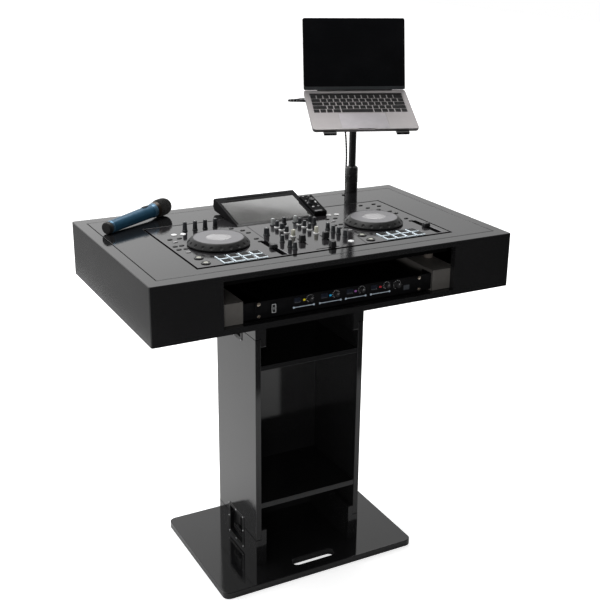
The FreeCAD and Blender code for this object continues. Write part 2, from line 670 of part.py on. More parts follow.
def screen_housing():
    """The tilted wedge with the display, and the raised control strip at its right."""
    foot = [(CONSOLE_Y[1] + SCREEN_UNDERSIDE[0], TABLE_TOP + SCREEN_UNDERSIDE[1]), (CONSOLE_Y[1], TABLE_TOP)]
    wedge = [(SCREEN_FRONT_Y, TABLE_TOP), (SCREEN_FRONT_Y, screen_height(SCREEN_FRONT_Y)),
             (SCREEN_BACK_Y, SCREEN_BACK_Z)]
    wedge += [(SCREEN_BACK_Y + dy, SCREEN_BACK_Z + dz) for dy, dz in SCREEN_BACK_OUTLINE]
    body = extruded_x(wedge + foot, SCREEN_X)
    front, back = STRIP_Y
    edge = front + STRIP_FRONT_EDGE
    strip = [(front, TABLE_TOP), (front, STRIP_Z[0] - STRIP_FRONT_EDGE), (edge, strip_height(edge)),
             (back, STRIP_Z[1])]
    strip += [(back + dy, STRIP_Z[1] + dz) for dy, dz in STRIP_BACK_OUTLINE]
    body = body.fuse(extruded_x(strip + foot, STRIP_X)).removeSplitter()
    return body.cut(screen_plate())


def screen_plate():
    """The slab of the display, let into the tilted face."""
    y0, y1 = SCREEN_FRONT_Y + GLASS_MARGIN[0], SCREEN_BACK_Y - GLASS_MARGIN[1]
    face = [(y0, screen_height(y0)), (y1, screen_height(y1)),
            (y1, screen_height(y1) - GLASS_THICK), (y0, screen_height(y0) - GLASS_THICK)]
    return extruded_x(face, GLASS_X)


def browse_knob():
    """A knob that stands square on the sloping control strip."""
    x, y = BROWSE_KNOB_AT
    solid = knob(0, 0, BROWSE_KNOB, 0)
    solid.rotate(V(0, 0, 0), X_AXIS, math.degrees(math.atan(STRIP_SLOPE)))
    solid.translate(V(x, y, strip_height(y)))
    return solid


def socket():
    """The part of the mast's tube that is let into the table."""
    return bar(SOCKET_R, (*MAST, TABLE_FLOOR), (*MAST, TABLE_TOP))


def mast_tube():
    tube = bar(TUBE_R, (*MAST, TABLE_TOP), (*MAST, CLUTCH_Z[0])).fuse(socket())
    return tube.cut(bar(TUBE_BORE_R, (*MAST, TABLE_FLOOR + TUBE_BORE_FLOOR), (*MAST, CLUTCH_Z[0])))


def mast_clutch():
    low, high = CLUTCH_Z
    bore = ROD_R + RUNNING_CLEARANCE
    profile = [(bore, low), (CLUTCH_R - CLUTCH_FOOT[0], low), (CLUTCH_R, low + CLUTCH_FOOT[1])]
    profile += [(CLUTCH_R - inset, high - drop) for inset, drop in CLUTCH_NOSE]
    return turned(profile + [(bore, high)], *MAST)


def laptop_placement():
    turn = FreeCAD.Rotation(Z_AXIS, LAPTOP_YAW).multiply(FreeCAD.Rotation(X_AXIS, LAPTOP_TILT))
    return FreeCAD.Placement(V(*LAPTOP_FRONT), turn)


def placed(shape):
    """A shape made in the laptop's own frame, moved to where the laptop stands."""
    shape.Placement = laptop_placement().multiply(shape.Placement)
    return shape


def laptop_slab(y, z, corner):
    slab = box(around(0, LAPTOP_SIZE[0]), y, z)
    return slab.makeFillet(corner, edges_along(slab, Z_AXIS))


def laptop_base():
    base = laptop_slab((0, LAPTOP_SIZE[1]), LAPTOP_Z, LAPTOP_CORNER)
    return placed(base.makeFillet(LAPTOP_EDGE, edges_at(base, LAPTOP_Z[0])))


def laptop_lid():
    """The lid, closed flat on the base and then opened about its hinge barrel."""
    low = LAPTOP_Z[1] + LID_GAP
    lid = laptop_slab((LID_AXIS[0] - LID_LENGTH, LID_AXIS[0]), (low, low + LID_THICK), LID_CORNER)
    barrel = bar(BARREL_R, (-BARREL_HALF, *LID_AXIS), (BARREL_HALF, *LID_AXIS))
    lid = lid.fuse(barrel).removeSplitter()
    lid.rotate(V(0, *LID_AXIS), X_AXIS, -LID_ANGLE)
    return placed(lid)


def laptop_tray():
    """Two lipped arms on a cross plate, whose tail is welded to a hub that turns on the rod."""
    z = (LAPTOP_Z[0] - TRAY_THICK, LAPTOP_Z[0])
    tray = box((-TRAY_ARM_X[1], TRAY_ARM_X[1]), (TRAY_CROSS_FRONT, TRAY_BACK), z)
    tray = tray.fuse(box(TRAY_TAIL_X, (TRAY_CROSS_FRONT, TRAY_TAIL_BACK), z))
    for side in (-1, 1):
        x = span(side, *TRAY_ARM_X)
        tray = tray.fuse([box(x, (LIP_Y[0], TRAY_BACK), z), box(x, LIP_Y, (z[0], LIP_TOP))])
    tray = placed(tray.removeSplitter())
    above = placed(box(TRAY_TAIL_X, (TRAY_CROSS_FRONT, TRAY_TAIL_BACK + HUB_R),
                       (LAPTOP_Z[0] - TRAY_THICK / 2, HUB_Z[1] - HUB_Z[0])))
    hub = bar(HUB_R, (*MAST, HUB_Z[0]), (*MAST, HUB_Z[1])).cut(above)
    bore = bar(ROD_R + RUNNING_CLEARANCE, (*MAST, HUB_Z[0]), (*MAST, ROD_Z[1] + CONTACT_GAP))
    return tray.fuse(hub).removeSplitter().cut(bore)


def usb_plug():
    edge = -LAPTOP_SIZE[0] / 2
    plug = box((edge - PLUG_LENGTH, edge), around(PLUG_Y, PLUG_SIZE[0]), around(PLUG_Z, PLUG_SIZE[1]))
    return placed(plug.makeFillet(PLUG_EDGE, edges_along(plug, X_AXIS)))


def mast_offset(left, away, z):
    """A point beside the mast, by its distance to the player's left and away from the player."""
    return V(*MAST, z) + IMAGE_LEFT * left + AWAY * away


def lead_clip():
    low, high = CLIP_Z
    ring = bar(CLIP_RING_R, (*MAST, low), (*MAST, high))
    block = box(CLIP_BLOCK_X, around(0, CLIP_BLOCK_WIDTH), (low, high))
    block.rotate(V(0, 0, 0), Z_AXIS, math.degrees(math.atan2(IMAGE_LEFT.y, IMAGE_LEFT.x)))
    block.translate(V(*MAST, 0))
    return ring.fuse(block).removeSplitter().cut(bar(ROD_R, (*MAST, low), (*MAST, high)))


def lead_grommet():
    x, z = GROMMET_AT
    face = TABLE_DEPTH_HALF
    flange = bar(GROMMET_R, (x, face, z), (x, face + GROMMET_RISE, z))
    return flange.fuse(bar(GROMMET_NECK_R, (x, face - TABLE_BOARD, z), (x, face, z)))


def cord_tube(name, points):
    """A round tube along straight runs joined by the largest tangent arcs; prints its radii."""
    corners, start = [], points[0]
    edges = []
    for before, at, after in zip(points, points[1:], points[2:]):
        back, on = (before - at), (after - at)
        turn = math.pi - back.getAngle(on)
        cut = 0.45 * min(back.Length, on.Length)
        corners.append(cut / math.tan(turn / 2))
        first = at + back.normalize() * cut
        last = at + on.normalize() * cut
        bisector = (back + on).normalize()
        middle = at + bisector * (corners[-1] * (1 / math.cos(turn / 2) - 1))
        edges.append(Part.LineSegment(start, first).toShape())
        edges.append(Part.Arc(first, middle, last).toShape())
        start = last
    edges.append(Part.LineSegment(start, points[-1]).toShape())
    path = Part.Wire(edges)
    section = Part.Wire(Part.makeCircle(LEAD_D / 2, points[0], points[1] - points[0]))
    tube = path.makePipeShell([section], True, False)
    expected = path.Length * math.pi * LEAD_D ** 2 / 4
    print(name, "radii", [round(r, 1) for r in corners], "length", round(path.Length, 1),
          "volume ratio", round(tube.Volume / expected, 4))
    return tube


def lead_routes():
    """The route's points above and below the clip."""
    frame = laptop_placement()
    tail = V(-LAPTOP_SIZE[0] / 2 - PLUG_LENGTH, PLUG_Y, PLUG_Z)
    upper = [frame.multVec(tail)] + [frame.multVec(V(*p)) for p in LEAD_UPPER]
    upper += [mast_offset(LEAD_OFFSET, 0, CLIP_Z[1] + LEAD_DROP_IN), mast_offset(LEAD_OFFSET, 0, CLIP_Z[1])]
    lower = [mast_offset(LEAD_OFFSET, 0, CLIP_Z[0])] + [mast_offset(*p) for p in LEAD_LOWER]
    x, z = GROMMET_AT
    lower += [V(*p) for p in LEAD_TAIL] + [V(x, TABLE_DEPTH_HALF + GROMMET_RISE, z)]
    return upper, lower


def microphone():
    """Handle and grille, lying on the table with the wider head resting higher."""
    reach = V(*MIC_HEAD, 0) - V(*MIC_TAIL, 0)
    ring_end = MIC_NECK_AT + MIC_RING_LENGTH
    between_rests = ring_end + MIC_BASKET_FLARE - MIC_TAIL_EDGE
    tilt = math.atan((MIC_HEAD_R - MIC_TAIL_R) / between_rests)
    heading = math.degrees(math.atan2(reach.y, reach.x))
    length = math.hypot(reach.Length, MIC_HEAD_R - MIC_TAIL_R)
    handle = [(0, 0), (MIC_TAIL_R - MIC_TAIL_EDGE, 0), (MIC_TAIL_R, MIC_TAIL_EDGE),
              (MIC_TAIL_R, MIC_TAIL_LENGTH), (MIC_TAIL_R + MIC_TAPER_START[0], MIC_TAPER_START[1]),
              (MIC_NECK_R, MIC_NECK_AT - MIC_NECK_FLARE), (MIC_RING_R, MIC_NECK_AT),
              (MIC_RING_R, ring_end), (0, ring_end)]
    head = [(0, ring_end), (MIC_RING_R, ring_end), (MIC_HEAD_R, ring_end + MIC_BASKET_FLARE)]
    head += [(MIC_HEAD_R - inset, length + beyond) for inset, beyond in MIC_DOME]
    head.append((0, length + MIC_DOME_TOP))
    lift = TABLE_TOP + CONTACT_GAP + MIC_TAIL_R * math.cos(tilt) - MIC_TAIL_EDGE * math.sin(tilt)
    solids = []
    for profile in (handle, head):
        solid = turned(profile, 0, 0)
        solid.rotate(V(0, 0, 0), Y_AXIS, 90 - math.degrees(tilt))
        solid.rotate(V(0, 0, 0), Z_AXIS, heading)
        solid.translate(V(*MIC_TAIL, lift))
        solids.append(solid)
    return solids


def save_furniture():
    save("base_plate", base_plate())
    plinth_z, plinth_tongue = (BASE_TOP, PLINTH_SEAM), (BASE_TOP, LOWER_TONGUE_TOP)
    neck_z, neck_tongue = (NECK_SEAM, TABLE_BOTTOM), (UPPER_TONGUE_BOTTOM, TABLE_BOTTOM)
    inner = (-COLUMN_INNER, COLUMN_INNER)
    back_y = (COLUMN_Y[1] - COLUMN_BOARD, COLUMN_Y[1])
    plinths = [upright(side, plinth_z, plinth_tongue, -1, PLINTH_SEAM) for side in (-1, 1)]
    save("base_plinths", *plinths, box(inner, back_y, plinth_z))
    necks = [upright(side, neck_z, neck_tongue, 1, NECK_SEAM) for side in (-1, 1)]
    save("table_necks", *necks, box(inner, back_y, neck_z))
    save("column_left_panel", column_side(-1))
    save("column_right_panel", column_side(1))
    save("column_back_panel", box(inner, back_y, (PLINTH_SEAM, NECK_SEAM)))
    shelf_y = (COLUMN_Y[0] + SHELF_SETBACK, back_y[0])
    save("lower_shelf", box(inner, shelf_y, LOWER_SHELF_Z))
    save("upper_shelf", box(inner, shelf_y, UPPER_SHELF_Z))
    x = TABLE_HALF - TABLE_BOARD
    y = TABLE_DEPTH_HALF - TABLE_BOARD
    save("table_bottom_board", box((-x, x), (-y, y), (TABLE_BOTTOM, TABLE_FLOOR)))
    save("table_front_panel", table_front())
    save("table_back_panel", table_back())
    save("table_left_panel", table_side(-1))
    save("table_right_panel", table_side(1))
    save("table_rim", rim())
    save("table_insert", insert())
    beam_z = (TABLE_FLOOR, BEAM_TOP)
    save("console_beams", *[box(span(side, *BEAM_X), (-y, BEAM_BACK), beam_z) for side in (-1, 1)])


def save_latches():
    places = {"bottom": (-1, PLINTH_SEAM), "top": (1, NECK_SEAM)}
    dishes = []
    for level, (up, seam) in places.items():
        for side_name, side in (("left", -1), ("right", 1)):
            dishes += latch_dish(side, up, seam)
            save("latch_wing_" + level + "_" + side_name, latch_wing(side, up, seam))
    save("latch_dishes", *dishes)


def save_receiver():
    save("rack_rails", *[rack_rail(side) for side in (-1, 1)])
    save("rack_screws", *[rack_screw(side, row) for side in (-1, 1) for row in (-1, 1)])
    save("receiver_case", receiver_case())
    encoders = [receiver_knob(x, CHANNEL_Z, *CHANNEL_KNOB) for x in CHANNEL_X]
    save("receiver_encoders", *encoders, receiver_knob(*RECEIVER_DIAL, *RECEIVER_DIAL_KNOB))
    save("receiver_power_button", power_button())


def save_console():
    save("console_case", console_case())
    save("circuit_boards", console_board(), receiver_board())
    save("console_fascia", fascia())
    save("console_feet", *[bar(FOOT_R, (x, y, BEAM_TOP), (x, y, CONSOLE_BOTTOM))
                           for x in FOOT_X for y in FOOT_Y])
    for name, (x, y) in DECKS.items():
        save("jog_wheel_" + name, jog_wheel(x, y))
        save("tempo_slider_" + name, slider_cap(x + TEMPO_AT[0], y + TEMPO_AT[1], TEMPO_CAP, "y"))
        for action, (dx, dy) in TRANSPORT_AT.items():
            save(action + "_button_" + name, transport_button(x + dx, y + dy))
    for number, x in enumerate(FADER_X, 1):
        save("channel_fader_" + str(number), slider_cap(x, FADER_Y, FADER_CAP, "y"))
    save("crossfader", slider_cap(CROSS_CAP_X, CROSS_Y, CROSS_CAP, "x"))
    save("performance_pads", *pads())
    save("deck_buttons", *deck_buttons())
    save("mixer_knobs", *knobs(), browse_knob())
    save("screen_housing", screen_housing())
    save("screen_glass", screen_plate())


def save_mast_and_laptop():
    save("mast_tube", mast_tube())
    save("mast_clutch", mast_clutch())
    save("mast_rod", bar(ROD_R, (*MAST, ROD_Z[0]), (*MAST, ROD_Z[1])))
    save("laptop_tray", laptop_tray())
    save("laptop_base", laptop_base())
    save("laptop_lid", laptop_lid())
    save("usb_plug", usb_plug())
    save("lead_clip", lead_clip())
    save("lead_grommet", lead_grommet())
    upper, lower = lead_routes()
    save("usb_lead_upper", cord_tube("upper lead", upper))
    save("usb_lead_lower", cord_tube("lower lead", lower))
    handle, head = microphone()
    save("microphone_handle", handle)
    save("microphone_grille", head)


os.makedirs("parts", exist_ok=True)
save_furniture()
save_latches()
save_receiver()
save_console()
save_mast_and_laptop()
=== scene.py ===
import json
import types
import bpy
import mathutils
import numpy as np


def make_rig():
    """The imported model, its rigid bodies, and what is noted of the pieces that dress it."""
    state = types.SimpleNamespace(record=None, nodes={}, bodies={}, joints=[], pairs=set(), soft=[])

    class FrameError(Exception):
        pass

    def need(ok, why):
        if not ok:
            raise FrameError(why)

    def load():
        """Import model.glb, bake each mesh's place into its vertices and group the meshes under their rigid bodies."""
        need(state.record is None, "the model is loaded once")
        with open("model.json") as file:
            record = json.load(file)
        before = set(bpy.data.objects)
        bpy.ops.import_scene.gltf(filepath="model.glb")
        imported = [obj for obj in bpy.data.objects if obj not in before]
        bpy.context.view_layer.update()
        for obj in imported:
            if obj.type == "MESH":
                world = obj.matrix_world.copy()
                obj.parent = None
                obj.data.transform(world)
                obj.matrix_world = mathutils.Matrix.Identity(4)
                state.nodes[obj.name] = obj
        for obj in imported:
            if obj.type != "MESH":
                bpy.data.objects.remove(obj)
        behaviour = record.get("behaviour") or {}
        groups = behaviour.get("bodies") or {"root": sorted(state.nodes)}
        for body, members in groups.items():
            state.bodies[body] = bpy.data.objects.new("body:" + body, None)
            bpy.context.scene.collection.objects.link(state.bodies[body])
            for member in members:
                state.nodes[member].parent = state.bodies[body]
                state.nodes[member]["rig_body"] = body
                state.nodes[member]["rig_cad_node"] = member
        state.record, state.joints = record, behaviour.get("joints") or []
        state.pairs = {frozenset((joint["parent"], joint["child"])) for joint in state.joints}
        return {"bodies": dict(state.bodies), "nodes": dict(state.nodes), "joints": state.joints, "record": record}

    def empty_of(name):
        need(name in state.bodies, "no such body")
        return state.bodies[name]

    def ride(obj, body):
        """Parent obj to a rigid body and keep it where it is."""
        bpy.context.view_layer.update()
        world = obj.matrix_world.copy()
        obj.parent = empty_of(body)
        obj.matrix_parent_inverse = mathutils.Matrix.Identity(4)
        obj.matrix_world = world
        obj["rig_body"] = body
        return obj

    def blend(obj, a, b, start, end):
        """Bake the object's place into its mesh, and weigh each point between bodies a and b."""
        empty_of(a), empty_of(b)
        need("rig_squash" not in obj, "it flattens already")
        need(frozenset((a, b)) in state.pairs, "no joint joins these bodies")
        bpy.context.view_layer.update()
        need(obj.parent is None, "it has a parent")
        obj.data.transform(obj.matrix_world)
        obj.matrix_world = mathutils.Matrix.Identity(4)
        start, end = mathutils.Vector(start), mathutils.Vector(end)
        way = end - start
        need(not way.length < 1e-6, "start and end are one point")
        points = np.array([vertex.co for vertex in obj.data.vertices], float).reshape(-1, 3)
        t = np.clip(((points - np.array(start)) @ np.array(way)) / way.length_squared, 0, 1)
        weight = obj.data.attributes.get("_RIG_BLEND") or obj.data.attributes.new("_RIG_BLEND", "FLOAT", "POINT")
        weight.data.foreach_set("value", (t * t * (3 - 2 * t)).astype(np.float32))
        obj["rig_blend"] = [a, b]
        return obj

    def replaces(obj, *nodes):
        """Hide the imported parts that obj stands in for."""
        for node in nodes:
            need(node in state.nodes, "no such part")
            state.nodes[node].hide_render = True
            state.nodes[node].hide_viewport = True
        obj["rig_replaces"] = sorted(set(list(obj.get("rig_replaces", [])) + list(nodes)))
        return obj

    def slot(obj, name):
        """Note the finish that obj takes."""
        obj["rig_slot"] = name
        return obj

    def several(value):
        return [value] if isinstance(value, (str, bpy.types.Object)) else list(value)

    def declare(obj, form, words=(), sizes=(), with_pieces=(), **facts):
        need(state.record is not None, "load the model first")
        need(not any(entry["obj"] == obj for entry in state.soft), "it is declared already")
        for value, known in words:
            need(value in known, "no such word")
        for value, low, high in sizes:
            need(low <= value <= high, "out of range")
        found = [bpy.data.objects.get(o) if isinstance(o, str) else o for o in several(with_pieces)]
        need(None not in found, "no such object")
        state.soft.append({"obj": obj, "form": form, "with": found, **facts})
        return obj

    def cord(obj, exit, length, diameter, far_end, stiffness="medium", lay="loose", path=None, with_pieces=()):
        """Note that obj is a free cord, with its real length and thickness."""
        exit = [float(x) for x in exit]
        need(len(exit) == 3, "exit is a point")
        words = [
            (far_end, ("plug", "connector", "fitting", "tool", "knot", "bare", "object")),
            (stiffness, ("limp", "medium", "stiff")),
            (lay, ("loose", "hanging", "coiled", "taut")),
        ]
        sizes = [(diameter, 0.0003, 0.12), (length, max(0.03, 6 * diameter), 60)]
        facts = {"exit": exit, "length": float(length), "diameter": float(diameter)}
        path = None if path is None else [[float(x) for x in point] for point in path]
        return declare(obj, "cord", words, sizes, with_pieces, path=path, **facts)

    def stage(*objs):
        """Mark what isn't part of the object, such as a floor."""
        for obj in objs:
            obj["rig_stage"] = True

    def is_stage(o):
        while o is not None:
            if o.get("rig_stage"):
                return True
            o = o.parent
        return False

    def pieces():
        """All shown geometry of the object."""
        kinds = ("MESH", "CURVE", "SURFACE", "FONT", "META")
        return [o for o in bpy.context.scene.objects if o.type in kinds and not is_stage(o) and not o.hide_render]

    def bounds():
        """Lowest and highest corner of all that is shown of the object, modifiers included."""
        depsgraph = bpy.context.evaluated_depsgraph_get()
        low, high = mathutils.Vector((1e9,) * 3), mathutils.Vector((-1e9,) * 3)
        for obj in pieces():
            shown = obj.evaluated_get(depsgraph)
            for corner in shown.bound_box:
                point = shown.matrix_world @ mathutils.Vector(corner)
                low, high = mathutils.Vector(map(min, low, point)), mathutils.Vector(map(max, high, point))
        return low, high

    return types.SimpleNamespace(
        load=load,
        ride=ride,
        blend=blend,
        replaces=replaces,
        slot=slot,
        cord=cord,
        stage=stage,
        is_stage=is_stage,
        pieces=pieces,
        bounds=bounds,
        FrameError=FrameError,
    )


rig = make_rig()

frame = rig.load()
import json
from math import atan, atan2, cos, degrees, hypot, pi, radians, sin

import bpy
from mathutils import Matrix, Vector

cad_low, cad_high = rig.bounds()
nodes = frame["nodes"]
scene = bpy.context.scene

# Studio: a white floor under broad soft light from above, behind and the left, and dark behind the camera, so
# that black boards show a grey sheen on top and stay dark in front. A grey flag shows only in their gloss.
# The camera stands where the photograph was taken, before the booth's left corner.
CAMERA_AT = (-1.2382, -2.4094, 1.7336)
CAMERA_YAW, CAMERA_PITCH, CAMERA_ROLL = -28.83, -19.81, 0.92
CAMERA_LENS, CAMERA_SENSOR, CAMERA_SHIFT = 62.02, 36.0, -0.0285
SKY_FADE = {"From Min": -0.55, "From Max": 0.25, "To Min": 0.07, "To Max": 0.93}
SKY_TILT = {"From Min": 0.20, "From Max": 0.60, "To Min": 1.40, "To Max": 0.80}
FLOOR_AT, FLOOR_SIZE, FLOOR_WHITE = (0.0, 11.4, 0.0), (28.0, 25.2), (0.87, 0.87, 0.87, 1.0)
FLAG_AT, FLAG_SIZE = (-2.6, 2.5, 0.002), (2.9, 4.4)
WEAR_GAIN, WEAR_LIFT, GRAIN_DEPTH = 1.18, 0.0015, 0.0004


def at(x, y, z):
    return Matrix.Translation((x, y, z))


def turn(angle, axis):
    return Matrix.Rotation(radians(angle), 4, axis)


def deselect():
    bpy.ops.object.select_all(action="DESELECT")


def settled(name, size=(1, 1, 1)):
    """Names the primitive just added, and puts its size and place into its mesh."""
    obj = bpy.context.object
    obj.name = name
    obj.scale = size
    bpy.ops.object.transform_apply(location=True, rotation=True, scale=True)
    return obj


def soft_light(name, where, target, size, watts, roll=0.0, mirrored=True):
    """A rectangular soft box that faces a point."""
    deselect()
    bpy.ops.object.light_add(type="AREA", location=where)
    lamp = bpy.context.object
    lamp.name = name
    facing = (Vector(target) - Vector(where)).to_track_quat("-Z", "Y").to_matrix().to_4x4()
    lamp.matrix_world = at(*where) @ facing @ turn(roll, "Z")
    lamp.data.shape = "RECTANGLE"
    lamp.data.size, lamp.data.size_y = size
    lamp.data.energy = watts
    lamp.visible_glossy = mirrored


def studio_sheet(name, middle, size):
    """A flat sheet that is no part of the booth."""
    deselect()
    bpy.ops.mesh.primitive_plane_add(size=1, location=middle)
    sheet = settled(name, (*size, 1))
    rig.stage(sheet)
    return sheet


def added(tree, kind, values=None, **settings):
    """Adds a shader node with its settings and the values of its sockets."""
    node = tree.nodes.new("ShaderNode" + kind)
    for label, value in settings.items():
        setattr(node, label, value)
    for socket, value in (values or {}).items():
        node.inputs[socket].default_value = value
    return node


def wire(tree, *pairs):
    """Links each output to its input."""
    for source, target in pairs:
        tree.links.new(source, target)


def rgb(tone):
    """A colour as it is, or one value as a grey."""
    return (tone,) * 3 if isinstance(tone, float) else tone


handling = bpy.data.node_groups.new("handled_surface", "ShaderNodeTree")
for way, labels in (("INPUT", ("Grain Scale", "Patch Scale")), ("OUTPUT", ("Grain", "Patches"))):
    for label in labels:
        handling.interface.new_socket(label, in_out=way, socket_type="NodeSocketFloat")
entry, leave = handling.nodes.new("NodeGroupInput"), handling.nodes.new("NodeGroupOutput")
place = added(handling, "TexCoord").outputs["Object"]
fine = added(handling, "TexNoise", {"Detail": 3.0})
broad = added(handling, "TexNoise", {"Detail": 5.0, "Roughness": 0.62})
contrast = added(handling, "MapRange", {"From Min": 0.36, "From Max": 0.68}, interpolation_type="SMOOTHSTEP")
wire(handling, (place, fine.inputs["Vector"]), (entry.outputs["Grain Scale"], fine.inputs["Scale"]),
     (place, broad.inputs["Vector"]), (entry.outputs["Patch Scale"], broad.inputs["Scale"]),
     (fine.outputs["Fac"], leave.inputs["Grain"]), (broad.outputs["Fac"], contrast.inputs["Value"]),
     (contrast.outputs[0], leave.inputs["Patches"]))


def surface(name, colour, rough, worn=None, metal=0.0, grain=1500, bump=0.08, patch=7, spread=0.06, coat=0.0,
            glow=0.0, specular=0.5):
    """A finish with fine grain in its bump, and soft patches of handling in its colour and gloss."""
    material = bpy.data.materials.new(name)
    material.use_nodes = True
    tree = material.node_tree
    shader = tree.nodes["Principled BSDF"].inputs
    for label, value in (("Metallic", metal), ("Coat Weight", coat), ("Specular IOR Level", specular)):
        shader[label].default_value = value
    colour = rgb(colour)
    worn = rgb(worn) if worn else [WEAR_GAIN * part + WEAR_LIFT for part in colour]
    marks = added(tree, "Group", {"Grain Scale": grain, "Patch Scale": patch}, node_tree=handling)
    tint = added(tree, "Mix", {6: (*colour, 1.0), 7: (*worn, 1.0)}, data_type="RGBA")
    gloss = added(tree, "MapRange", {"To Min": rough - spread, "To Max": rough + spread})
    relief = added(tree, "Bump", {"Strength": bump, "Distance": GRAIN_DEPTH})
    patches = marks.outputs["Patches"]
    wire(tree, (patches, tint.inputs[0]), (tint.outputs[2], shader["Base Color"]),
         (patches, gloss.inputs["Value"]), (gloss.outputs[0], shader["Roughness"]),
         (marks.outputs["Grain"], relief.inputs["Height"]), (relief.outputs[0], shader["Normal"]))
    if glow:
        wire(tree, (tint.outputs[2], shader["Emission Color"]))
        shader["Emission Strength"].default_value = glow
    return material


deselect()
bpy.ops.object.camera_add()
camera = bpy.context.object
camera.name = "photo_camera"
camera.matrix_world = (at(*CAMERA_AT) @ turn(CAMERA_YAW, "Z") @ turn(90 + CAMERA_PITCH, "X")
                       @ turn(CAMERA_ROLL, "Z"))
camera.data.sensor_width = CAMERA_SENSOR
camera.data.lens = CAMERA_LENS
camera.data.shift_x = CAMERA_SHIFT
scene.camera = camera
scene.view_settings.view_transform = "Standard"

world = bpy.data.worlds.new("studio")
world.use_nodes = True
scene.world = world
sky = world.node_tree
around, split, seen = added(sky, "TexCoord"), added(sky, "SeparateXYZ"), added(sky, "LightPath")
fade = added(sky, "MapRange", SKY_FADE, interpolation_type="SMOOTHSTEP")
tilt = added(sky, "MapRange", SKY_TILT)
both, backdrop = added(sky, "Math", operation="MULTIPLY"), added(sky, "Math", operation="MAXIMUM")
background = sky.nodes["Background"].inputs
background["Color"].default_value = (1.0, 1.0, 1.0, 1.0)
wire(sky, (around.outputs["Generated"], split.inputs[0]), (split.outputs["Y"], fade.inputs["Value"]),
     (split.outputs["X"], tilt.inputs["Value"]), (fade.outputs[0], both.inputs[0]),
     (tilt.outputs[0], both.inputs[1]), (both.outputs[0], backdrop.inputs[0]),
     (seen.outputs["Is Camera Ray"], backdrop.inputs[1]), (backdrop.outputs[0], background["Strength"]))

soft_light("overhead_box", (0.0, 0.8, 3.4), (0.0, 0.1, 0.9), (2.4, 1.6), 60.0)
soft_light("front_fill", (-1.7, -3.0, 1.1), (0.0, -0.3, 0.86), (1.0, 0.5), 32.0, mirrored=False)
soft_light("screen_box", (1.80, 2.74, 3.2), (1.80, 2.74, 0.0), (1.6, 1.0), 16.0, -18.0)

floor = studio_sheet("studio_floor", FLOOR_AT, FLOOR_SIZE)
flag = studio_sheet("studio_flag", FLAG_AT, FLAG_SIZE)
flag.visible_camera = flag.visible_diffuse = flag.visible_shadow = False
flag.data.materials.append(surface("grey_flag", 0.25, 0.8, bump=0.0, patch=1))
pale_floor = surface("pale_floor", 0.86, 0.7, worn=0.88, bump=0.0, glow=0.75)
floor.data.materials.append(pale_floor)
tree = pale_floor.node_tree
sight = added(tree, "LightPath")
white_out = added(tree, "Mix", {6: (0.0, 0.0, 0.0, 1.0), 7: FLOOR_WHITE}, data_type="RGBA")
wire(tree, (sight.outputs["Is Camera Ray"], white_out.inputs[0]),
     (white_out.outputs[2], tree.nodes["Principled BSDF"].inputs["Emission Color"]))

# Boards of the base, column and table: birch ply faced with satin black laminate, with a thin edge band
# whose paler tone paints a highlight along the eased arrises.
# They are sawn and routed to size, and their arrises are eased by hand. The beams under the console are
# painted grey, and their top faces are paler: painted light where the light falls on them from above.
BOARD_NODES = ("base_plate", "base_plinths", "table_necks", "column_left_panel", "column_right_panel",
               "column_back_panel", "lower_shelf", "upper_shelf", "table_bottom_board", "table_insert")
FLUSH_NODES = ("table_front_panel", "table_back_panel", "table_left_panel", "table_right_panel", "table_rim")
BOARD_ARRIS, WELD_REACH, SHARP = 0.0009, 0.000005, 40


def coloured(obj, *finishes):
    obj.data.materials.clear()
    for finish in finishes:
        obj.data.materials.append(finish)
    return obj


def painted(obj, slot, test):
    """Gives a finish slot to the faces that pass a test of their centre and normal."""
    for face in obj.data.polygons:
        if test(face.center, face.normal):
            face.material_index = slot
    return obj


def dress(node, finish, arris=0.0, *arris_finish):
    """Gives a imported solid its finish, and eases its edges with a live bevel."""
    obj = coloured(nodes[node], finish, *arris_finish)
    if arris:
        obj.modifiers.new("weld", "WELD").merge_threshold = WELD_REACH
        ease = obj.modifiers.new("arris", "BEVEL")
        ease.width, ease.segments = arris, 2
        ease.limit_method, ease.angle_limit = "ANGLE", radians(SHARP)
        if arris_finish:
            ease.material = 1


laminate = surface("satin_black_laminate", (0.0085, 0.0085, 0.009), 0.07, grain=2200, bump=0.05, patch=5,
                   spread=0.02)
edge_band_and_highlight = surface("eased_edge_band", (0.012, 0.012, 0.013), 0.42, patch=30)
beam_paint = surface("beam_paint", (0.105, 0.099, 0.092), 0.5, patch=14)
lit_beam_top = surface("rubbed_beam_top", (0.25, 0.236, 0.220), 0.5, patch=14)
for node in BOARD_NODES:
    dress(node, laminate, BOARD_ARRIS, edge_band_and_highlight)
for node in FLUSH_NODES:
    dress(node, laminate)
dress("console_beams", beam_paint, BOARD_ARRIS, edge_band_and_highlight)
# The beams' upward faces take a paler finish: painted light on their tops.
nodes["console_beams"].data.materials.append(lit_beam_top)
painted(nodes["console_beams"], 2, lambda centre, normal: normal.z > 0.9)

# Seam shade: thin black strips in the felt finish over the seams between the column and its plinth and neck,
# a hair proud of the boards. They paint the shade in the seams as dark lines round the column, and stop at the
# latches.
SEAMS = ((0.100, -1), (0.711, 1))
LATCH_MID_Y, LATCH_REACH = 0.008, 0.0532
SHADE_STRIP_X, SHADE_STRIP_Y, SHADE_STRIP_HALF = (0.1490, 0.16575), (-0.12825, 0.13025), 0.0009
FINE_EASE, SMOOTH_UNDER = 0.0002, radians(35)
felt = surface("black_felt", 0.002, 0.95, grain=2600, bump=0.4, patch=80, specular=0.0)


def only(obj):
    """Makes one object the selected and active one."""
    deselect()
    obj.select_set(True)
    bpy.context.view_layer.objects.active = obj


def block(name, low, high):
    """A block between two corners."""
    deselect()
    low, high = Vector(low), Vector(high)
    bpy.ops.mesh.primitive_cube_add(size=1, location=(low + high) / 2)
    return settled(name, high - low)


def apply_all(obj):
    only(obj)
    for modifier in list(obj.modifiers):
        bpy.ops.object.modifier_apply(modifier=modifier.name)


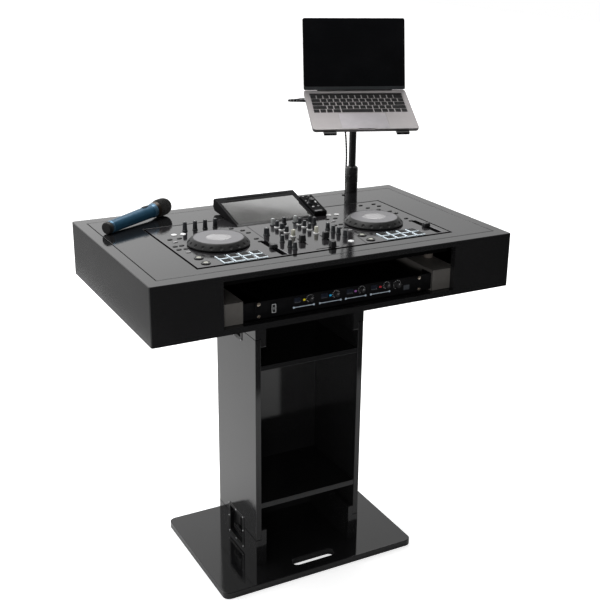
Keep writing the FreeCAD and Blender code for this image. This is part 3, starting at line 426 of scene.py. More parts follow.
def eased(obj, width, segments=2, angle=SHARP):
    """Rounds a piece's sharp edges."""
    ease = obj.modifiers.new("eased", "BEVEL")
    ease.width, ease.segments, ease.angle_limit = width, segments, radians(angle)
    apply_all(obj)
    return obj


def joined(name, parts):
    deselect()
    for part in parts:
        part.select_set(True)
    bpy.context.view_layer.objects.active = parts[0]
    if len(parts) > 1:
        bpy.ops.object.join()
    parts[0].name = parts[0].data.name = name
    return parts[0]


def fit(obj, body, slot, *stands_for):
    """Smooths a finished piece, sets it on its body, and names its finish and the solids it stands for."""
    only(obj)
    bpy.ops.object.shade_smooth_by_angle(angle=SMOOTH_UNDER)
    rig.ride(obj, body)
    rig.slot(obj, slot)
    if stands_for:
        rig.replaces(obj, *stands_for)


# Black strips over the seams: painted shade.
shade_strips = []
for side in (-1, 1):
    x0, x1 = sorted(side * x for x in SHADE_STRIP_X)
    for seam, _ in SEAMS:
        for y0, y1 in ((SHADE_STRIP_Y[0], LATCH_MID_Y - LATCH_REACH), (LATCH_MID_Y + LATCH_REACH, SHADE_STRIP_Y[1])):
            shade_strips.append(block("gasket", (x0, y0, seam - SHADE_STRIP_HALF), (x1, y1, seam + SHADE_STRIP_HALF)))
fit(coloured(eased(joined("seam_gaskets", shade_strips), FINE_EASE), felt), "booth", "rubber")

# Butterfly latches: pressed steel dishes let into the boards across each seam of the column, powder-coated
# black. Eight bright pan-head screws with cross slots hold each flange, and the wing turns on a boss.
LATCH_FACE_X, LATCH_ARRIS = 0.1670, 0.0004
LATCH_SCREWS = [(u * 0.0482, v) for u in (-1, 1) for v in (-0.0288, 0.0150, 0.0678)]
LATCH_SCREWS += [(0, -0.0288), (0, 0.0678)]
PAN_SCREW = [(0.0029, 0.0), (0.0029, 0.0003), (0.0024, 0.0011), (0.0012, 0.0015)]
SCREW_SLOT = (0.0018, 0.00035, 0.0008)
TO_LEFT, TO_RIGHT, TO_FRONT = turn(-90, "Y"), turn(90, "Y"), turn(90, "X")
powder = surface("black_powder_coat", (0.0045, 0.0045, 0.005), 0.36, grain=2600, bump=0.30, patch=40,
                 specular=0.28)
# The coat's eased edges are paler: a painted highlight along them.
powder_edge_highlight = surface("rubbed_powder_coat", (0.050, 0.050, 0.051), 0.26, grain=2600, bump=0.2, patch=60)
zinc = surface("bright_zinc", (0.58, 0.58, 0.59), 0.26, metal=1.0, grain=4000, bump=0.1, patch=300)


def mode(name):
    bpy.ops.object.mode_set(mode=name)


def turned(name, profile, sides=48):
    """A lathe shape about Z from (radius, height) steps: each extrudes the last face and resizes it."""
    deselect()
    radius, height = profile[0]
    foot = (0, 0, height)
    bpy.ops.mesh.primitive_circle_add(vertices=sides, radius=radius, fill_type="NGON", location=foot)
    obj = settled(name)
    mode("EDIT")
    bpy.ops.mesh.select_all(action="SELECT")
    for (r0, z0), (r1, z1) in zip(profile, profile[1:]):
        rise = {"value": (0, 0, z1 - z0), "orient_type": "GLOBAL"}
        bpy.ops.mesh.extrude_region_move(TRANSFORM_OT_translate=rise)
        bpy.ops.transform.resize(value=(r1 / r0, r1 / r0, 1), center_override=(0, 0, z1))
    bpy.ops.mesh.select_all(action="SELECT")
    bpy.ops.mesh.normals_make_consistent(inside=False)
    mode("OBJECT")
    return obj


def carved(obj, *tools):
    """Cuts tools out of a piece and throws them away."""
    for tool in tools:
        cut = obj.modifiers.new("cut", "BOOLEAN")
        cut.operation, cut.solver, cut.object = "DIFFERENCE", "EXACT", tool
        apply_all(obj)
        bpy.data.objects.remove(tool)
    return obj


def moved(obj, matrix):
    obj.data.transform(matrix)
    return obj


def copied(obj, name, places):
    """Copies of a modelled piece, one at each matrix, joined as one group."""
    made = []
    for matrix in places:
        twin = obj.copy()
        twin.data = obj.data.copy()
        scene.collection.objects.link(twin)
        made.append(moved(twin, matrix))
    bpy.data.objects.remove(obj)
    return joined(name, made)


def screw_head(name, profile, sides):
    """A turned screw head with a cross slot cut into its top."""
    head, top = turned(name, profile, sides), profile[-1][1]
    half, width, depth = SCREW_SLOT
    return carved(head, block("slot", (-half, -width, top - depth), (half, width, top + depth)),
                  block("slot", (-width, -half, top - depth), (width, half, top + depth)))


for node in nodes:
    if node.startswith("latch_"):
        dress(node, powder, LATCH_ARRIS, powder_edge_highlight)
screw_places = [at(side * LATCH_FACE_X, LATCH_MID_Y + u, seam + up * v) @ facing
                for side, facing in ((-1, TO_LEFT), (1, TO_RIGHT)) for seam, up in SEAMS
                for u, v in LATCH_SCREWS]
pan_screw = coloured(screw_head("pan_screw", PAN_SCREW, 16), zinc)
fit(copied(pan_screw, "latch_screws", screw_places), "booth", "screw_steel")

# Rack rails and receiver: folded steel, textured black, held in the front opening by four rack screws on cup
# washers. The face has four channel windows with coloured lamps and fluted encoders, pale printed lines,
# and a power key. Its print glows a little, which is painted light.
FACE_Y = -0.2890
RACK_SCREWS = [(x * 0.23255, 0.8601 + z * 0.015875) for x in (-1, 1) for z in (-1, 1)]
RACK_SCREW = [(0.0056, 0.0), (0.0055, 0.0004), (0.0049, 0.0010), (0.0044, 0.0010), (0.0044, 0.0019),
              (0.0034, 0.0026), (0.0015, 0.0028)]
WASHER_BORE = 0.0045
WINDOW_X, WINDOW_Z = (-0.126, -0.051, 0.023, 0.095), 0.8700
WINDOW, BEZEL = (0.0185, 0.0125), (0.0236, 0.0172)
DISPLAY_AT, DISPLAY = (0.194, 0.8550), (0.018, 0.013)
LAMP_X, LAMP_Z, LAMP_STRETCH = (-0.107, -0.033, 0.040, 0.114), 0.8683, 1.3
LAMP = [(0.0028, 0.0), (0.0028, 0.0004), (0.0022, 0.0011), (0.0011, 0.0014)]
LAMP_COLOURS = ((0.62, 0.50, 0.02), (0.02, 0.30, 0.55), (0.26, 0.09, 0.30), (0.40, 0.02, 0.03))
ENCODER_X, ENCODER_Z, ENCODER = (-0.091, -0.017, 0.058, 0.133), 0.8695, (0.0062, 0.0110)
DIAL_AT, DIAL = (0.165, 0.8670), (0.0075, 0.0110)
ENCODER_SCALE, DIAL_SCALE, TICK = 0.0086, 0.0102, (0.0004, 0.0019)
LINE_SPANS, LINE_Z = ((-0.139, -0.077), (-0.066, 0.0), (0.009, 0.073), (0.083, 0.145)), 0.8520
PRINT, LINE_WIDTH, LINE_SHORT = 0.00025, 0.0012, 0.004
LINE_END, LINE_END_IN = [(0.0025, 0.0), (0.0025, PRINT), (0.0014, PRINT), (0.0014, 0.0)], 0.003
POWER_AT, POWER_SIZE, POWER_PROUD, POWER_DEEP = (-0.192, 0.8600), (0.0130, 0.0240), 0.0025, 0.005
OUTLINE, OUTLINE_INSIDE, POWER_BAR = (0.0110, 0.0220), (0.0094, 0.0204), (0.0010, 0.0060)
texture_black = surface("textured_black", (0.0035, 0.0035, 0.004), 0.5, grain=1800, bump=0.25, patch=30,
                        specular=0.12)
# The print's glow is painted light: the lines, ticks, pointers and key marks are no lamps.
pale_print_painted_glow = surface("pale_blue_print", (0.50, 0.58, 0.66), 0.5, patch=60, glow=0.25)
white_print = surface("white_print", (0.66, 0.67, 0.68), 0.5, patch=60, glow=0.12)
window_glass = surface("blue_black_window", (0.006, 0.009, 0.018), 0.14, patch=90, coat=0.2)
grey_display = surface("grey_display", (0.060, 0.066, 0.075), 0.16, patch=120)
soft_black = surface("soft_touch_black", (0.012, 0.012, 0.013), 0.45, grain=2400, bump=0.15, patch=80)
brass = surface("yellow_passivated", (0.75, 0.65, 0.54), 0.22, metal=1.0, grain=3000, patch=300)


def opened(obj, kind, chosen):
    """Opens a mesh for editing with the chosen faces or edges selected."""
    only(obj)
    mode("EDIT")
    bpy.ops.mesh.select_mode(type=kind)
    bpy.ops.mesh.select_all(action="DESELECT")
    mode("OBJECT")
    for element in chosen(obj.data):
        element.select = True
    mode("EDIT")


def pick(obj, test):
    """Opens a mesh with the faces selected that pass a test of their centre and normal."""
    opened(obj, "FACE", lambda mesh: [face for face in mesh.polygons if test(face.center, face.normal)])


def plate(name, low, high, corner, through=2, edge=0.0):
    """A flat plate with rounded corners; through is the axis of its thickness."""
    def upright(mesh):
        for line in mesh.edges:
            run = mesh.vertices[line.vertices[0]].co - mesh.vertices[line.vertices[1]].co
            if abs(run[through]) > 0.99 * run.length:
                yield line
    obj = block(name, low, high)
    opened(obj, "EDGE", upright)
    bpy.ops.mesh.bevel(offset=corner, segments=5, affect="EDGES")
    mode("OBJECT")
    return eased(obj, edge, 2, 60) if edge else obj


def face_plate(name, middle, size, proud, corner, edge=0.0, back=0.0):
    """A plate on the receiver's face, by its middle and its size across."""
    (x, z), (wide, high) = middle, size
    return plate(name, (x - wide / 2, FACE_Y - proud, z - high / 2),
                 (x + wide / 2, FACE_Y + back, z + high / 2), corner, 1, edge)


def from_axis(point):
    return hypot(point.x, point.y)


def fluted(obj, count, low, high, depth):
    """Sinks every other side face between two heights, which makes a knob's grip."""
    def is_flute(centre, normal):
        step = int(round((atan2(centre.y, centre.x) % (2 * pi)) / (2 * pi) * count * 2 - 0.5))
        return low < centre.z < high and abs(normal.z) < 0.5 and step % 2 == 0
    pick(obj, is_flute)
    bpy.ops.mesh.inset(thickness=0.00012, depth=-depth, use_individual=True)
    mode("OBJECT")
    return obj


def receiver_knob(radius, length):
    """A fluted knob with a pointer line on its end."""
    foot, neck, shoulder = 0.0015, 0.0022, length - 0.0009
    profile = [(radius, 0.0), (radius, foot), (radius * 0.93, neck), (radius * 0.87, shoulder),
               (radius * 0.78, length), (radius * 0.5, length - 0.0003)]
    knob = fluted(turned("receiver_knob", profile, 36), 18, neck, shoulder, 0.0003)
    pointer = block("pointer", (-0.0004, radius * 0.25, length - 0.0006), (0.0004, radius * 0.8, length))
    return joined("receiver_knob", [coloured(knob, soft_black), coloured(pointer, white_print)])


def on_face(x, z):
    return at(x, FACE_Y, z) @ TO_FRONT


dress("rack_rails", texture_black, 0.0003)
dress("receiver_case", texture_black, 0.0004)
rack_screw = coloured(screw_head("rack_screw", RACK_SCREW, 24), brass, texture_black)
painted(rack_screw, 1, lambda centre, normal: from_axis(centre) > WASHER_BORE)
rack_screws = copied(rack_screw, "rack_screw_heads", [on_face(x, z) for x, z in RACK_SCREWS])
fit(rack_screws, "booth", "screw_steel", "rack_screws")

encoders = [copied(receiver_knob(*ENCODER), "encoders", [on_face(x, ENCODER_Z) for x in ENCODER_X]),
            copied(receiver_knob(*DIAL), "dial", [on_face(*DIAL_AT)])]
fit(joined("receiver_encoder_knobs", encoders), "booth", "knob_plastic", "receiver_encoders")

window = [coloured(face_plate("bezel", (0, 0), BEZEL, 0.0004, 0.0012, 0.0001), texture_black),
          coloured(face_plate("glass", (0, 0), WINDOW, 0.0006, 0.0008, 0.0001), window_glass)]
windows = [copied(joined("window", window), "windows", [at(x, 0, WINDOW_Z) for x in WINDOW_X]),
           coloured(face_plate("display", DISPLAY_AT, DISPLAY, 0.0005, 0.001, 0.0001), grey_display)]
fit(joined("receiver_windows", windows), "booth", "screen_glass")

lamps = []
for x, colour in zip(LAMP_X, LAMP_COLOURS):
    lens = moved(turned("lens", LAMP, 24), on_face(x, LAMP_Z) @ Matrix.Diagonal((LAMP_STRETCH, 1, 1, 1)))
    lamps.append(coloured(lens, surface(f"lamp_{len(lamps) + 1}", colour, 0.25, patch=200, glow=0.18)))
fit(joined("receiver_lamps", lamps), "booth", "button_plastic")

prints, ticks = [], []
for low, high in LINE_SPANS:
    size = (high - low - 2 * LINE_SHORT, LINE_WIDTH)
    prints.append(face_plate("line", ((low + high) / 2, LINE_Z), size, PRINT, 0.0005))
    for x in (low + LINE_END_IN, high - LINE_END_IN):
        prints.append(moved(turned("end", LINE_END, 20), on_face(x, LINE_Z)))
coloured(joined("lines", prints), pale_print_painted_glow)
for x, z, radius in [(x, ENCODER_Z, ENCODER_SCALE) for x in ENCODER_X] + [(*DIAL_AT, DIAL_SCALE)]:
    for step in range(-5, 6):
        tick = block("tick", (-TICK[0], -PRINT, radius), (TICK[0], 0, radius + TICK[1]))
        ticks.append(moved(tick, at(x, FACE_Y, z) @ turn(30 * step, "Y")))
coloured(joined("ticks", ticks), white_print)
fit(joined("receiver_prints", [prints[0], ticks[0]]), "booth", "receiver_metal")

key = face_plate("key", POWER_AT, POWER_SIZE, POWER_PROUD, 0.0012, 0.0004, POWER_DEEP)
outline = face_plate("outline", POWER_AT, OUTLINE, POWER_PROUD + PRINT, 0.0010, 0.0, -POWER_PROUD)
carved(outline, face_plate("inside", POWER_AT, OUTLINE_INSIDE, 0.0040, 0.0006))
bar = face_plate("bar", POWER_AT, POWER_BAR, POWER_PROUD + PRINT, 0.0003, 0.0, -POWER_PROUD)
power_key = joined("receiver_power_key", [coloured(key, soft_black), coloured(outline, white_print),
                                          coloured(bar, white_print)])
fit(power_key, "receiver_power_button", "button_plastic", "receiver_power_button")

# Console body: a moulded tray on rubber feet, closed by a satin fascia with wells for all that moves.
# The circuit boards inside it and inside the receiver are green laminate on posts.
DECKS = {"left": (-0.236, -0.060), "right": (0.230, -0.060)}
TOP = 0.9670
GROOVES = (((-0.1010, 0.0710), (-0.1210, -0.2200)), ((0.1340, -0.0760), (0.1100, -0.2255)))
GROOVE_HALF, GROOVE_LIFT = 0.0008, 0.0002
# The tray's plastic is darkened past its own black to paint the shade inside the opening.
console_plastic = surface("moulded_black", 0.003, 0.6, grain=2600, bump=0.06, patch=16, specular=0.1)
fascia_satin = surface("fascia_satin", (0.014, 0.0132, 0.0145), 0.085, grain=2600, bump=0.05, patch=16,
                       spread=0.02, specular=0.62)
fascia_edge = surface("fascia_edge", 0.006, 0.5, patch=60, specular=0.2)
rubber = surface("black_rubber", (0.022, 0.022, 0.023), 0.65, grain=1800, bump=0.2, patch=50)
foot_rubber = surface("grey_rubber", (0.125, 0.108, 0.095), 0.6, grain=1800, bump=0.2, patch=50)
solder_mask = surface("green_solder_mask", (0.010, 0.075, 0.028), 0.35, worn=(0.03, 0.12, 0.05), grain=900,
                      patch=120)
dress("console_case", console_plastic, 0.0008)
dress("console_fascia", fascia_satin, 0.0004, fascia_edge)
dress("circuit_boards", solder_mask)
dress("console_feet", foot_rubber, 0.0010)
grooves = []
for start, end in GROOVES:
    run = Vector(end) - Vector(start)
    groove = plate("groove", (-GROOVE_HALF, 0.0, 0.0), (GROOVE_HALF, run.length, GROOVE_LIFT),
                   GROOVE_HALF / 2)
    grooves.append(moved(groove, at(*start, TOP) @ turn(degrees(atan2(run.y, run.x)) - 90, "Z")))
fit(coloured(joined("fascia_grooves", grooves), texture_black), "booth", "console_plastic")

# Seam fillers: strips bedded in the gaps round the table's insert and round the console's fascia.
# Black strips in the felt finish at the front and left and all round the console paint the shade in the gaps, a
# black line along the fascia's front edge paints the same shade, and black laminate lies flush at the back and right.
INSERT_SEAM = ((-0.4831, -0.2704, 0.4831, 0.2704), (-0.4807, -0.2680, 0.4807, 0.2680))
CONSOLE_SEAM = ((-0.3657, -0.2329, 0.3741, 0.1499), (-0.3604, -0.2276, 0.3688, 0.1446))
FILLER_FOOT, SHADE_FILL_TOP, FLUSH_TOP = 0.9620, 0.9665, 0.96695
SHADE_LINE_LOW, SHADE_LINE_HIGH = (-0.3602, -0.2275, TOP), (0.3686, -0.2232, TOP + 0.0002)
# A black line along the fascia's front edge: painted shade of the gap.
shade_and_fillers = [coloured(block("bead", SHADE_LINE_LOW, SHADE_LINE_HIGH), felt)]
for ((x0, y0, x1, y1), (x2, y2, x3, y3)), back in ((INSERT_SEAM, laminate), (CONSOLE_SEAM, felt)):
    for low, high, finish in (((x0, y0), (x1, y2), felt), ((x0, y3), (x1, y1), back),
                              ((x0, y2), (x2, y3), felt), ((x3, y2), (x1, y3), back)):
        top = SHADE_FILL_TOP if finish is felt else FLUSH_TOP
        filler = eased(block("filler", (*low, FILLER_FOOT), (*high, top)), FINE_EASE)
        shade_and_fillers.append(coloured(filler, finish))
fit(joined("seam_fillers", shade_and_fillers), "booth", "rubber")

# Jog wheels: a turned black rim with round finger dimples, a grey touch plate, and a pale round display in
# its middle. Each wheel turns on a spindle through the fascia.
JOG = [(0.0770, 0.0003), (0.0810, 0.0027), (0.0810, 0.0047), (0.0780, 0.0084), (0.0733, 0.0133),
       (0.0690, 0.0172), (0.0673, 0.0186), (0.0660, 0.0190), (0.0650, 0.0190), (0.0644, 0.0184),
       (0.0636, 0.0190), (0.0540, 0.0190), (0.0430, 0.0190), (0.0325, 0.0190), (0.0318, 0.0183),
       (0.0310, 0.0188), (0.0150, 0.0189)]
JOG_PLATE_R, JOG_DISC_R, JOG_FACE = 0.0645, 0.0322, 0.0180
SPINDLE = [(0.0055, -0.0140), (0.0060, -0.0135), (0.0060, 0.0010)]
DIMPLES, DIMPLE_R, DIMPLE_AT = 20, 0.0076, (0.0800, 0.0, 0.0138)
rim_black = surface("jog_rim_black", 0.008, 0.40, specular=0.22, bump=0.1, patch=40)
dimple_grey = surface("jog_dimple_grey", 0.022, 0.45, patch=60, specular=0.1)
plate_grey = surface("jog_plate_grey", (0.108, 0.105, 0.114), 0.30, worn=(0.114, 0.111, 0.120), grain=3000,
                     bump=0.05, patch=30, spread=0.02)
pale_disc = surface("jog_pale_disc", (0.29, 0.285, 0.29), 0.22, worn=(0.30, 0.295, 0.30), patch=30,
                    spread=0.02)
JOG_FINISHES = (rim_black, plate_grey, pale_disc, dimple_grey)
for side, deck in DECKS.items():
    wheel = coloured(turned("jog_" + side, JOG, 96), *JOG_FINISHES)
    deselect()
    bpy.ops.mesh.primitive_uv_sphere_add(segments=20, ring_count=12, radius=DIMPLE_R, location=(0, 0, 0))
    ball = painted(coloured(bpy.context.object, *JOG_FINISHES), 3, lambda centre, normal: True)
    spots = [turn(360 * step / DIMPLES, "Z") @ at(*DIMPLE_AT) for step in range(DIMPLES)]
    carved(wheel, copied(ball, "balls", spots))
    painted(wheel, 1, lambda centre, normal: from_axis(centre) < JOG_PLATE_R and centre.z > JOG_FACE)
    painted(wheel, 2, lambda centre, normal: from_axis(centre) < JOG_DISC_R and centre.z > JOG_FACE)
    wheel = joined(f"jog_wheel_{side}_turned", [wheel, coloured(turned("spindle", SPINDLE, 32), zinc)])
    fit(moved(wheel, at(*deck, TOP)), "jog_wheel_" + side, "jog_plastic", "jog_wheel_" + side)

# Sliders: hard black caps with a scooped top and a white centre line, each on a thin stem that runs in its
# slot. The tempo sliders' slots have a dark track round them, with a grey band at its right.
TEMPO_AT, TEMPO_CAP = (0.111, -0.093), (0.020, 0.015, 0.009)
FADER_X, FADER_Y, FADER_CAP = (-0.033, 0.036), -0.135, (0.017, 0.013, 0.017)
CROSS_AT, CROSS_CAP = (0.014, -0.212), (0.015, 0.018, 0.016)
CAP_LIFT, CAP_TAPER, CAP_EASE, STEM, STEM_DEPTH = 0.001, 0.84, 0.0009, (0.0015, 0.004), 0.011
GRIP_HALF, GRIP_DEPTH, INLAY_HALF, INLAY_Z = 0.0017, 0.0007, 0.0004, (-0.0009, -0.0003)
TRACK, TRACK_SLOT, TRACK_LIFT = (0.0078, 0.0640), (0.0022, 0.0590), 0.0004
BAND, BAND_LIFT = (0.0040, 0.0700), 0.0003
slider_line = surface("slider_line", 0.25, 0.5, patch=60)


def slider(name, body, x, y, size, line_axis):
    """A cap with sloped sides, a grip groove across its travel and an inlaid line, on its stem."""
    half, top = Vector(size) / 2, size[2]
    across = 1 - line_axis

    def bar(label, reach, width, z0, z1):
        low, high = [0, 0, z0], [0, 0, z1]
        low[line_axis], high[line_axis] = -half[line_axis] * reach, half[line_axis] * reach
        low[across], high[across] = -width, width
        return block(label, low, high)

    cap = block("cap", (-half.x, -half.y, 0), (half.x, half.y, top))
    pick(cap, lambda centre, normal: normal.z > 0.5)
    bpy.ops.transform.resize(value=(CAP_TAPER, CAP_TAPER, 1))
    mode("OBJECT")
    eased(cap, CAP_EASE, 3)
    carved(cap, eased(bar("groove", 1.2, GRIP_HALF, top - GRIP_DEPTH, top + 0.001), 0.0003))
    line = bar("line", 0.8, INLAY_HALF, top + INLAY_Z[0], top + INLAY_Z[1])
    reach = [STEM[0], STEM[0]]
    reach[across] = STEM[1]
    stem = block("stem", (-reach[0], -reach[1], -CAP_LIFT - STEM_DEPTH), (*reach, 0.0005))
    whole = joined(name, [coloured(cap, soft_black), coloured(line, slider_line),
                          coloured(eased(stem, FINE_EASE), zinc)])
    fit(moved(whole, at(x, y, TOP + CAP_LIFT)), body, "knob_plastic", body)


tempo_spots = {side: (x + TEMPO_AT[0], y + TEMPO_AT[1]) for side, (x, y) in DECKS.items()}
for side, spot in tempo_spots.items():
    slider("tempo_cap_" + side, "tempo_slider_" + side, *spot, TEMPO_CAP, 0)
for number, x in enumerate(FADER_X, 1):
    slider(f"fader_cap_{number}", f"channel_fader_{number}", x, FADER_Y, FADER_CAP, 0)
slider("crossfader_cap", "crossfader", *CROSS_AT, CROSS_CAP, 1)
(wide, long), (slot_wide, slot_long) = TRACK, TRACK_SLOT
tracks = []
for x, y in tempo_spots.values():
    track = plate("track", (x - wide, y - long, TOP), (x + wide, y + long, TOP + TRACK_LIFT), 0.003)
    carved(track, block("slot", (x - slot_wide, y - slot_long, TOP - 0.001),
                        (x + slot_wide, y + slot_long, TOP + 0.001)))
    band = plate("band", (x + wide, y - long, TOP),
                 (x + wide + BAND[0], y - long + BAND[1], TOP + BAND_LIFT), 0.0012)
    tracks += [coloured(track, felt), coloured(band, plate_grey)]
fit(joined("tempo_tracks", tracks), "booth", "console_plastic")

# Cue and play buttons: a grey ring round a black cap, sprung in the fascia's round wells; the cap's cream middle is a
# painted glint.
# Each is moulded in one piece with its skirt.
TRANSPORT = {"cue": (-0.092, -0.091), "play": (-0.092, -0.136)}
TRANSPORT_PROFILE = [(0.0120, -0.0050), (0.0120, 0.0018), (0.0113, 0.0025), (0.0098, 0.0025),
                     (0.0096, 0.0019), (0.0088, 0.0019), (0.0080, 0.0023), (0.0062, 0.0024),
                     (0.0040, 0.0025)]
RING_R, GLINT_R, BUTTON_FACE = (0.0097, 0.0121), 0.0061, 0.001
ring_grey = surface("button_ring_grey", (0.055, 0.055, 0.054), 0.3, patch=200)
button_black = surface("button_black", 0.006, 0.4, patch=120, specular=0.25)
# The cream spot in each cap's middle is a painted glint.
cream_middle = surface("cream_middle", (0.35, 0.35, 0.30), 0.4, patch=120)


def on_deck(deck, spot):
    return at(deck[0] + spot[0], deck[1] + spot[1], TOP)


def is_ring(centre, normal):
    return RING_R[0] < from_axis(centre) < RING_R[1] and centre.z > BUTTON_FACE


for side, deck in DECKS.items():
    for action, spot in TRANSPORT.items():
        button = turned(f"{action}_cap_{side}", TRANSPORT_PROFILE)
        coloured(button, button_black, ring_grey, cream_middle)
        painted(button, 1, is_ring)
        painted(button, 2, lambda centre, normal: from_axis(centre) < GLINT_R and centre.z > BUTTON_FACE)
        name = f"{action}_button_{side}"
        fit(moved(button, on_deck(deck, spot)), name, "button_plastic", name)

# Performance pads: dark rubber squares in two rows of four, each with a lit pale border.
# They are moulded with rounded corners and bonded to the fascia.
PAD_AT, PAD_PITCH, PAD = (0.0053, -0.1295), (0.0308, 0.0325), (0.0265, 0.0285, 0.0025)
PAD_CORNER, PAD_EASE, PAD_BORDER, PAD_RIDGE = 0.0025, 0.0005, 0.0017, (0.0004, 0.0002)
pad_border = surface("lit_pad_border", (0.66, 0.74, 0.79), 0.4, patch=60, glow=0.12)
pad_rubber = surface("pad_rubber", 0.018, 0.5, bump=0.2, patch=60, specular=0.06)
half = Vector(PAD) / 2


def in_border(centre, normal):
    return normal.z > 0.9 and abs(centre.x) < half.x - PAD_BORDER and abs(centre.y) < half.y - PAD_BORDER


pad = plate("pad", (-half.x, -half.y, 0), (half.x, half.y, PAD[2]), PAD_CORNER, 2, PAD_EASE)
pick(pad, lambda centre, normal: normal.z > 0.9 and centre.z > PAD[2] - 0.0002)
bpy.ops.mesh.inset(thickness=PAD_BORDER, depth=0.0)
bpy.ops.mesh.inset(thickness=PAD_RIDGE[0], depth=PAD_RIDGE[1])
mode("OBJECT")
painted(coloured(pad, pad_border, pad_rubber), 1, in_border)
pad_spots = [(PAD_AT[0] + (column - 1.5) * PAD_PITCH[0], PAD_AT[1] + (row - 0.5) * PAD_PITCH[1])
             for column in range(4) for row in range(2)]
pad_places = [on_deck(deck, spot) for deck in DECKS.values() for spot in pad_spots]
fit(copied(pad, "pad_group", pad_places), "booth", "rubber", "performance_pads")

# Small deck buttons: moulded caps on the fascia, most of them dark and a few white or pale.
# The right deck has four more at its back, and one white cap stands apart in the mixer.
DARK_BUTTONS = [(-0.099, 0.087), (-0.073, 0.087), (-0.109, 0.024), (-0.091, 0.025), (-0.110, -0.005),
                (-0.091, -0.005), (0.087, 0.115), (0.107, 0.086), (0.112, 0.060), (0.107, 0.0),
                (0.106, -0.026)]
WHITE_BUTTONS = [(-0.074, 0.124), (-0.050, 0.120)]
PALE_BUTTONS = [(-0.095, 0.060), (-0.097, -0.036)]
BACK_BUTTONS = {"left": [], "right": [(0.064, 0.178), (0.107, 0.176), (0.110, 0.150), (0.069, 0.146)]}
DARK_STRETCH, WHITE_STRETCH = Matrix.Diagonal((1.5, 0.9, 1.0, 1.0)), Matrix.Diagonal((1.7, 1.9, 1.0, 1.0))
LOOSE_WHITE = (0.0832, -0.1866)
BUTTON_PROFILE = [(0.0046, 0.0), (0.0046, 0.0011), (0.0041, 0.0016), (0.0030, 0.0014), (0.0012, 0.0013)]
white_cap = surface("white_cap", 0.66, 0.35, patch=120)
pale_cap = surface("pale_cap", (0.24, 0.235, 0.24), 0.35, patch=120)
dark_places, white_places, pale_places = [], [], []
for side, deck in DECKS.items():
    dark_places += [on_deck(deck, spot) @ DARK_STRETCH for spot in DARK_BUTTONS + BACK_BUTTONS[side]]
    white_places += [on_deck(deck, spot) @ WHITE_STRETCH for spot in WHITE_BUTTONS]
    pale_places += [on_deck(deck, spot) @ DARK_STRETCH for spot in PALE_BUTTONS]
white_places.append(at(*LOOSE_WHITE, TOP) @ WHITE_STRETCH)
button_groups = [copied(coloured(turned("cap", BUTTON_PROFILE, 28), finish), "caps", places)
                 for finish, places in ((button_black, dark_places), (white_cap, white_places),
                                        (pale_cap, pale_places))]
fit(joined("deck_button_caps", button_groups), "booth", "button_plastic", "deck_buttons")

# Knobs: tall fluted black grips on pale round skirts, with grey caps at the back of each channel and cream at
# its front. The browse knob stands square on the sloping strip beside the screen.
KNOB_ROWS = (0.038, 0.012, -0.016, -0.046, -0.084)
SIDE_KNOBS = [(0.001, 0.036), (0.072, 0.020), (0.076, 0.002), (0.082, -0.064), (0.082, -0.094),
              (0.086, -0.116), (0.089, -0.146), (-0.082, -0.117), (-0.083, -0.163), (-0.081, -0.187)]
EFFECT_AT, SEND_X, SEND_Y = (-0.090, -0.041), (-0.270, -0.241, -0.212, -0.183), 0.086
BROWSE_AT, STRIP_FRONT, STRIP_SLOPE = (0.129, 0.119), (0.067, 0.980), 0.0255 / 0.092
SMALL_KNOB, EFFECT_KNOB = (0.0060, 0.0190), (0.0080, 0.0200)
SEND_KNOB, BROWSE_KNOB = (0.0062, 0.0250), (0.0090, 0.0130)
SKIRT, WIDE_SKIRT, SKIRT_TOP = 0.0010, 0.0020, 0.0033
GRIP = {"grain": 2400, "bump": 0.12, "patch": 90}
knob_grey = surface("knob_grey", (0.34, 0.35, 0.35), 0.42, **GRIP)
knob_cream = surface("knob_cream", (0.46, 0.45, 0.38), 0.42, **GRIP)
knob_dark = surface("knob_dark", (0.026, 0.028, 0.031), 0.36, **GRIP)
ROW_FINISH = ((knob_grey, knob_dark), *[(knob_dark, white_cap)] * 3, (knob_cream, white_cap))


def tilted(x, y, front, slope):
    """A place square on a face that rises to the back from its front edge."""
    return at(x, y, front[1] + slope * (y - front[0])) @ turn(degrees(atan(slope)), "X")


def grip_knobs(size, body, skirt, places, flare=SKIRT):
    """Fluted grips on round skirts, each with a pointer line on its top, one at each place."""
    radius, height = size
    neck, shoulder = 0.0034, height - 0.0012
    profile = [(radius + flare, 0.0), (radius + flare, 0.0022), (radius + 0.0004, 0.0032), (radius, neck),
               (radius * 0.95, height * 0.35), (radius * 0.86, shoulder), (radius * 0.74, height),
               (radius * 0.50, height - 0.0004)]
    knob = coloured(fluted(turned("knob", profile, 32), 16, neck, shoulder, 0.00035), body, skirt)
    painted(knob, 1, lambda centre, normal: centre.z < SKIRT_TOP)
    pointer = block("pointer", (-0.0005, radius * 0.2, height - 0.0008),
                    (0.0005, radius * 0.78, height - 0.0001))
    return copied(joined("knob", [knob, coloured(pointer, white_cap)]), "knobs", places)


knobs = [grip_knobs(SMALL_KNOB, body, skirt, [at(x, y, TOP) for x in FADER_X], WIDE_SKIRT)
         for y, (body, skirt) in zip(KNOB_ROWS, ROW_FINISH)]
knobs += [grip_knobs(size, knob_dark, knob_dark, [at(*spot, TOP) for spot in spots])
          for size, spots in ((SMALL_KNOB, SIDE_KNOBS), (EFFECT_KNOB, [EFFECT_AT]),
                              (SEND_KNOB, [(x, SEND_Y) for x in SEND_X]))]
knobs.append(grip_knobs(BROWSE_KNOB, soft_black, knob_dark, [tilted(*BROWSE_AT, STRIP_FRONT, STRIP_SLOPE)]))
fit(joined("knob_group", knobs), "booth", "knob_plastic", "mixer_knobs")
